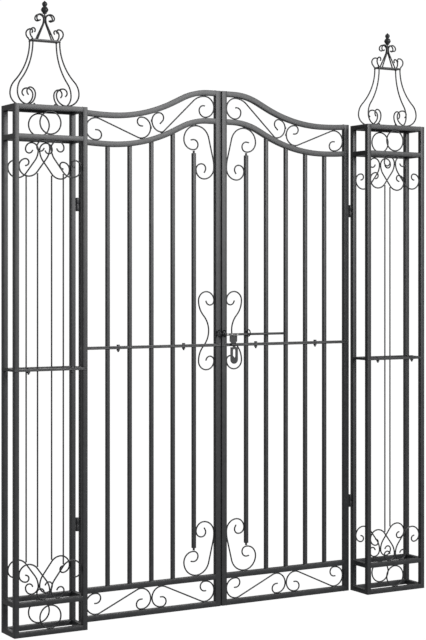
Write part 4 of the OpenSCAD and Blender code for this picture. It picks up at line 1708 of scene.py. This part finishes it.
@dataclass(frozen=True)
class Fasteners:
    """Bolts and nuts of one thread."""

    shop: Workshop
    thread_d: float = 8.0
    flats: float = 6.495
    corners: float = 7.5
    head_t: float = 6.0
    nut_t: float = 6.5
    thread_out: float = 5.5
    pillar_bolt_x: float = 92.5
    peg_x: float = 44.0
    leaf_bolt_x: float = 151.5

    def head(self, work: Steelwork, height: float, place: Matrix, both_ends: bool) -> None:
        """Adds a hexagon that stands on the plane z = 0.

        Args:
            work: Where it is added.
            height: Its height.
            place: Where it goes.
            both_ends: Whether it is chamfered below too, as a nut is.
        """
        r, eased = self.corners, self.corners - 1.25
        top = [(r, height - 0.72), (r - 0.42, height - 0.48), (r - 0.84, height - 0.24)]
        low = [(eased, 0.0), (r - 0.62, 0.36), (r, 0.72)] if both_ends else [(r - 0.5, 0), (r, 0.3)]
        work.lathe([*low, *top, (eased, height)], place, 48, self.flats)

    def bolt(self, work: Steelwork, grip: float, place: Matrix) -> None:
        """Adds a bolt with its head on the plane z = 0 and its shank below.

        Args:
            work: Where it is added.
            grip: What it holds together.
            place: Where it goes.
        """
        self.head(work, self.head_t, place, False)
        r = self.thread_d / 2
        work.lathe([(r, -grip - 1.5), (r, 0.5)], place, 24)
        end = -grip - self.nut_t - self.thread_out
        work.thread(r, end, -grip - 1.0, place)

    def nut(self, work: Steelwork, place: Matrix) -> None:
        """Adds a nut that hangs under the plane z = 0."""
        self.head(work, self.nut_t, place @ moved(z=-self.nut_t), True)

    def pair(self, bolts: Steelwork, nuts: Steelwork, grip: float, place: Matrix) -> None:
        """Adds a bolt and its nut, with the bolt's head on the plane z = 0."""
        self.bolt(bolts, grip, place)
        self.nut(nuts, place @ moved(z=-grip))

    def make(self) -> None:
        """Makes the bolts and nuts of the pillars and the leaves."""
        size = self.shop.layout
        bolts, nuts = Steelwork(), Steelwork()
        for side in Side:
            pillar = Pillar(self.shop, side)
            for x in (-self.pillar_bolt_x, self.pillar_bolt_x):
                top = pillar.joint + pillar.flange_t
                place = pillar.place @ moved(x, -pillar.face_y, top)
                self.pair(bolts, nuts, 2 * pillar.flange_t, place)
            for x in (-self.peg_x, self.peg_x):
                grip = 2 * Finial.cap_t
                place = pillar.place @ moved(x, 0, size.pillar_h - grip) @ swung("X", 180)
                self.pair(bolts, nuts, grip, place)
        self.shop.deliver(bolts, Slot.FASTENER, "pillars", "pillar_bolts")
        self.shop.deliver(nuts, Slot.FASTENER, "pillars", "pillar_nuts")
        for side in Side:
            bolts, nuts = Steelwork(), Steelwork()
            leaf = Leaf(self.shop, side)
            for x in (leaf.mid_x - self.leaf_bolt_x, leaf.mid_x + self.leaf_bolt_x):
                self.pair(bolts, nuts, 2 * leaf.flat_t, leaf.place @ moved(x, 0, leaf.joint[1]))
            self.shop.deliver(bolts, Slot.FASTENER, side.leaf, f"{side.word}_leaf_bolts")
            self.shop.deliver(nuts, Slot.FASTENER, side.leaf, f"{side.word}_leaf_nuts")


# ---- Hinges and latch ----


@dataclass(frozen=True)
class Hinges:
    """Lift-off hinges: a barrel with a pin on the pillar, a washer, a barrel on the leaf."""

    shop: Workshop
    barrel_d: float = 17.0
    pin_d: float = 8.0
    barrel_h: float = 25.0
    washer_t: float = 4.0

    def places(self, side: Side) -> list[Matrix]:
        """Places the axes of one side's hinges.

        Args:
            side: The side.

        Returns:
            A place for each hinge, with +X towards the leaf.
        """
        size = self.shop.layout
        x = -(size.centre_gap / 2 + size.leaf_w + size.hinge_gap / 2)
        way = Matrix() if side is Side.LEFT else FLIP_X
        return [way @ moved(x, size.leaf_y, z) for z in size.hinge_heights]

    def barrel(self, work: Steelwork, low: float, towards: int, place: Matrix) -> None:
        """Adds a barrel and the tab that is welded to the steel beside it.

        Args:
            work: Where it is added.
            low: The height of its foot.
            towards: 1 if the tab reaches to the leaf, -1 if to the pillar.
            place: Where it goes.
        """
        r, top = self.barrel_d / 2, low + self.barrel_h
        rounded = [(r - 0.9, low), (r - 0.3, low + 0.3), (r, low + 0.9)]
        above = [(r, top - 0.9), (r - 0.3, top - 0.3), (r - 0.9, top)]
        work.lathe([*rounded, *above], place, 44)
        edge = towards * self.shop.layout.hinge_gap / 2
        mid = low + self.barrel_h / 2
        tab = box_outline(8.0, self.barrel_h, 0.8, 2)
        work.bar((towards * (r - 2.5), 0, mid), (edge, 0, mid), tab, place)
        for y in (-4.4, 4.4):
            work.weld(
                Vector((edge - towards * 0.5, y, low + 1)),
                Vector((edge - towards * 0.5, y, top - 1)),
                place,
            )

    def make(self) -> None:
        """Makes every hinge."""
        pintles, washers = Steelwork(), Steelwork()
        foot = self.barrel_h + self.washer_t
        for side in Side:
            knuckles = Steelwork()
            for place in self.places(side):
                self.barrel(pintles, 0.0, -1, place)
                pin = self.pin_d / 2
                top = 2 * self.barrel_h + self.washer_t - 4
                pintles.lathe([(pin, self.barrel_h - 2), (pin, top - 1), (pin - 1, top)], place)
                r = self.barrel_d / 2 - 1
                low, high = self.barrel_h, foot
                disc = [(r - 0.3, low), (r, low + 0.4), (r, high - 0.4), (r - 0.3, high)]
                washers.lathe(disc, place, 44)
                self.barrel(knuckles, foot, 1, place)
            name = f"{side.word}_hinge_knuckles"
            self.shop.deliver(knuckles, Slot.IRON, side.leaf, name)
        self.shop.deliver(pintles, Slot.IRON, "pillars", "hinge_pintles")
        self.shop.deliver(washers, Slot.FASTENER, "pillars", "hinge_washers")


@dataclass(frozen=True)
class Latch:
    """The sliding rod, its rings, and the hasp."""

    shop: Workshop
    rod_d: float = 10.0
    rod_len: float = 298.0
    tip_len: float = 6.0
    tip_over: float = 1.0
    ring_wire: float = 5.0
    ring_bore: float = 22.0
    ring_z: float = 1147.0
    ring_pad: float = 4.0
    keeper_in: float = 18.0
    guide_in: float = 3.5
    pin_head: float = 1.0
    pin_head_over: float = 1.5
    pin_d: float = 5.0
    plate_edge: float = 0.0005
    plate_corner: float = 40.0

    @property
    def ring_r(self) -> float:
        """A ring's radius, on its centre line."""
        return (self.ring_bore + self.ring_wire) / 2

    @property
    def ring_y(self) -> float:
        """The middle of the rings."""
        size = self.shop.layout
        front = size.leaf_y - size.leaf_t / 2
        return front - self.ring_r - self.ring_wire / 2 - size.weld

    def ring(self, work: Steelwork, x: float, back: float) -> None:
        """Adds a ring on its pad.

        Args:
            work: Where it is added.
            x: Where it is.
            back: How far back its pad reaches.
        """
        place = moved(x, self.ring_y, self.ring_z) @ swung("Z", 90)
        work.hoop(self.ring_r, round_outline(self.ring_wire, 16), place, 56)
        pad = box_outline(self.ring_pad, 2.5 * self.ring_pad, 0.7, 2)
        near = self.ring_y + self.ring_r
        work.bar((x, near, self.ring_z), (x, back, self.ring_z), pad)
        for z in (-5.0, 5.0):
            middle = Vector((x, back - 0.6, self.ring_z + z))
            half = Vector((2.4, 0, 0))
            work.weld(middle - half, middle + half, Matrix(), 1.3)

    def rings(self) -> None:
        """Makes the keeper on the left leaf and the guides on the right one."""
        size = self.shop.layout
        front = size.leaf_y - size.leaf_t / 2
        keeper, guides = Steelwork(), Steelwork()
        leaf = Leaf(self.shop, Side.RIGHT)
        self.ring(keeper, -size.centre_gap / 2 - self.keeper_in, front)
        self.ring(guides, size.centre_gap / 2 + self.guide_in, front)
        bar_x = size.centre_gap / 2 + size.leaf_w - leaf.short_bar[0]
        self.ring(guides, bar_x - self.guide_in, size.leaf_y - leaf.square / 2)
        self.shop.deliver(keeper, Slot.IRON, Side.LEFT.leaf, "bolt_keeper")
        self.shop.deliver(guides, Slot.IRON, Side.RIGHT.leaf, "bolt_guides")

    def rod(self) -> None:
        """Makes the rod, with its upset tip and eased ends."""
        size = self.shop.layout
        z = self.ring_z - self.ring_bore / 2 + self.rod_d / 2 + self.tip_over + 0.2
        start = size.centre_gap / 2 + 1.5
        r, end = self.rod_d / 2, self.rod_len
        tip_r = r + self.tip_over
        upset = [(r - 0.6, 0.0), (tip_r - 0.4, 0.5), (tip_r, 1.5), (tip_r, self.tip_len - 1)]
        shank = [(r + 0.5, self.tip_len - 0.3), (r, self.tip_len + 0.2)]
        body = [(r, end * i / 8) for i in range(1, 8)]
        tail = [(r, end - 1.2), (r - 0.4, end - 0.5), (r - 1.3, end)]
        work = Steelwork()
        place = moved(start, self.ring_y, z) @ swung("Y", 90)
        work.lathe([*upset, *shank, *body, *tail], place, 40)
        work.piece(
            "slide_bolt.made", self.shop.finishes.rubbed, Slot.IRON, "latch_rod", "slide_bolt"
        )

    def hasp(self) -> None:
        """Eases the edges of the hasp's plates and turns its pin."""
        for node in ("hasp_bracket", "hasp_flap"):
            plate = bpy.data.objects[node]
            merge = plate.modifiers.new("merge", "WELD")
            merge.merge_threshold = 1e-5
            ease = plate.modifiers.new("ease", "BEVEL")
            ease.width, ease.segments = self.plate_edge, 2
            ease.limit_method, ease.angle_limit = "ANGLE", math.radians(self.plate_corner)
        low, high = node_span("hasp_pin")
        middle = (low + high) / 2
        place = moved(low.x, middle.y, middle.z) @ swung("Y", 90)
        length, r = high.x - low.x, self.pin_d / 2
        rim, wide = self.pin_head, r + self.pin_head_over
        profile = [(r, 0), (wide, rim / 2), (wide, rim), (r, rim)]
        profile += [(r, length - rim), (wide, length - rim), (wide, length - rim / 2)]
        work = Steelwork()
        work.lathe([*profile, (r, length)], place, 32)
        self.shop.deliver(work, Slot.FASTENER, Side.RIGHT.leaf, "hasp_pin")

    def make(self) -> None:
        """Makes the whole latch."""
        self.rings()
        self.rod()
        self.hasp()


# ---- Stage ----


@dataclass(frozen=True)
class Studio:
    """A white floor and backdrop, soft lights and the camera."""

    eye: tuple[float, float, float] = (-3.3654, -5.6775, 1.3927)
    yaw: float = -30.157
    lens: float = 89.02
    shift: float = -0.0707
    clip_end: float = 200.0
    floor_r: float = 30.0
    floor_drop: float = 0.001
    dome_r: float = 42.0
    white: float = 1.02
    air: float = 0.30
    aim: Vector = field(default=Vector((0.0, 0.0, 1.1)))
    lights: tuple[tuple[str, Vector, float, float], ...] = field(
        default=(
            ("key", Vector((3.0, -6.5, 3.6)), 3.2, 430.0),
            ("fill", Vector((-6.0, -3.0, 2.6)), 3.0, 30.0),
            ("rim", Vector((1.5, 6.0, 5.0)), 4.0, 110.0),
        )
    )

    def camera(self) -> None:
        """Stands the camera where the gate fills the picture."""
        data = bpy.data.cameras.new("camera")
        data.lens, data.shift_y = self.lens, self.shift
        data.clip_end = self.clip_end
        made = bpy.data.objects.new("camera", data)
        made.location = self.eye
        made.rotation_euler = (math.radians(90), 0.0, math.radians(self.yaw))
        bpy.context.scene.collection.objects.link(made)
        bpy.context.scene.camera = made
        bpy.context.scene.view_settings.view_transform = "Standard"

    def glow(self, name: str, strength: float) -> bpy.types.Material:
        """A white that gives off its own light.

        Args:
            name: What it is called.
            strength: How bright it is.

        Returns:
            Its material.
        """
        bench = Bench(name)
        light = bench.node("Emission", {}, {"Color": (1, 1, 1, 1), "Strength": strength})
        bench.node_out(light)
        return bench.material

    def backdrop(self) -> None:
        """Stands the gate on a white floor in a white dome that lights nothing."""
        bpy.ops.mesh.primitive_uv_sphere_add(segments=48, ring_count=24, radius=self.dome_r)
        dome = bpy.context.object
        bpy.ops.mesh.primitive_circle_add(
            vertices=64,
            radius=self.floor_r,
            fill_type="NGON",
            location=(0, 0, -self.floor_drop),
        )
        floor = bpy.context.object
        for made, name in ((dome, "backdrop"), (floor, "floor")):
            made.name = name
            made.data.materials.append(self.glow(f"{name}_white", self.white))
            made.visible_diffuse = made.visible_glossy = made.visible_shadow = False

    def light(self) -> None:
        """Hangs the lights and sets the air's own."""
        for name, place, size, power in self.lights:
            data = bpy.data.lights.new(name, "AREA")
            data.size, data.energy = size, power
            made = bpy.data.objects.new(name, data)
            made.location = place
            made.rotation_euler = (self.aim - place).to_track_quat("-Z", "Y").to_euler()
            bpy.context.scene.collection.objects.link(made)
        world = bpy.data.worlds.new("air")
        world.use_nodes = True
        sky = world.node_tree.nodes["Background"]
        sky.inputs["Color"].default_value = (1.0, 1.0, 1.0, 1.0)
        sky.inputs["Strength"].default_value = self.air
        bpy.context.scene.world = world

    def make(self) -> None:
        """Sets the stage."""
        self.camera()
        self.backdrop()
        self.light()


def dress_nodes(frame: Mapping[str, object], finishes: Finishes) -> None:
    """Gives every CAD node the finish of its slot.

    Args:
        finishes: The finishes.
    """
    for row in frame["record"]["subparts"]:
        node = frame["nodes"][row["node"]]
        finish = finishes.by_slot[Slot(row["material_slot"])]
        if not node.material_slots:
            node.data.materials.append(finish)
        for place in node.material_slots:
            place.material = finish


def main() -> None:
    """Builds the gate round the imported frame."""
    logging.basicConfig(level=logging.INFO, format="%(message)s")
    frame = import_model()
    Studio().make()
    shop = Workshop(Layout.read(), Finishes.mix())
    dress_nodes(frame, shop.finishes)
    collars, knobs = Steelwork(), Steelwork()
    for side in Side:
        Pillar(shop, side).make()
        finial = Finial(shop, side)
        finial.make()
        finial.collar(collars)
        finial.knob(knobs)
        Leaf(shop, side).make()
    shop.deliver(collars, Slot.SCROLL, "pillars", "finial_collars")
    shop.deliver(knobs, Slot.SCROLL, "pillars", "finial_knobs")
    Fasteners(shop).make()
    Hinges(shop).make()
    Latch(shop).make()


if __name__ == "__main__":
    main()
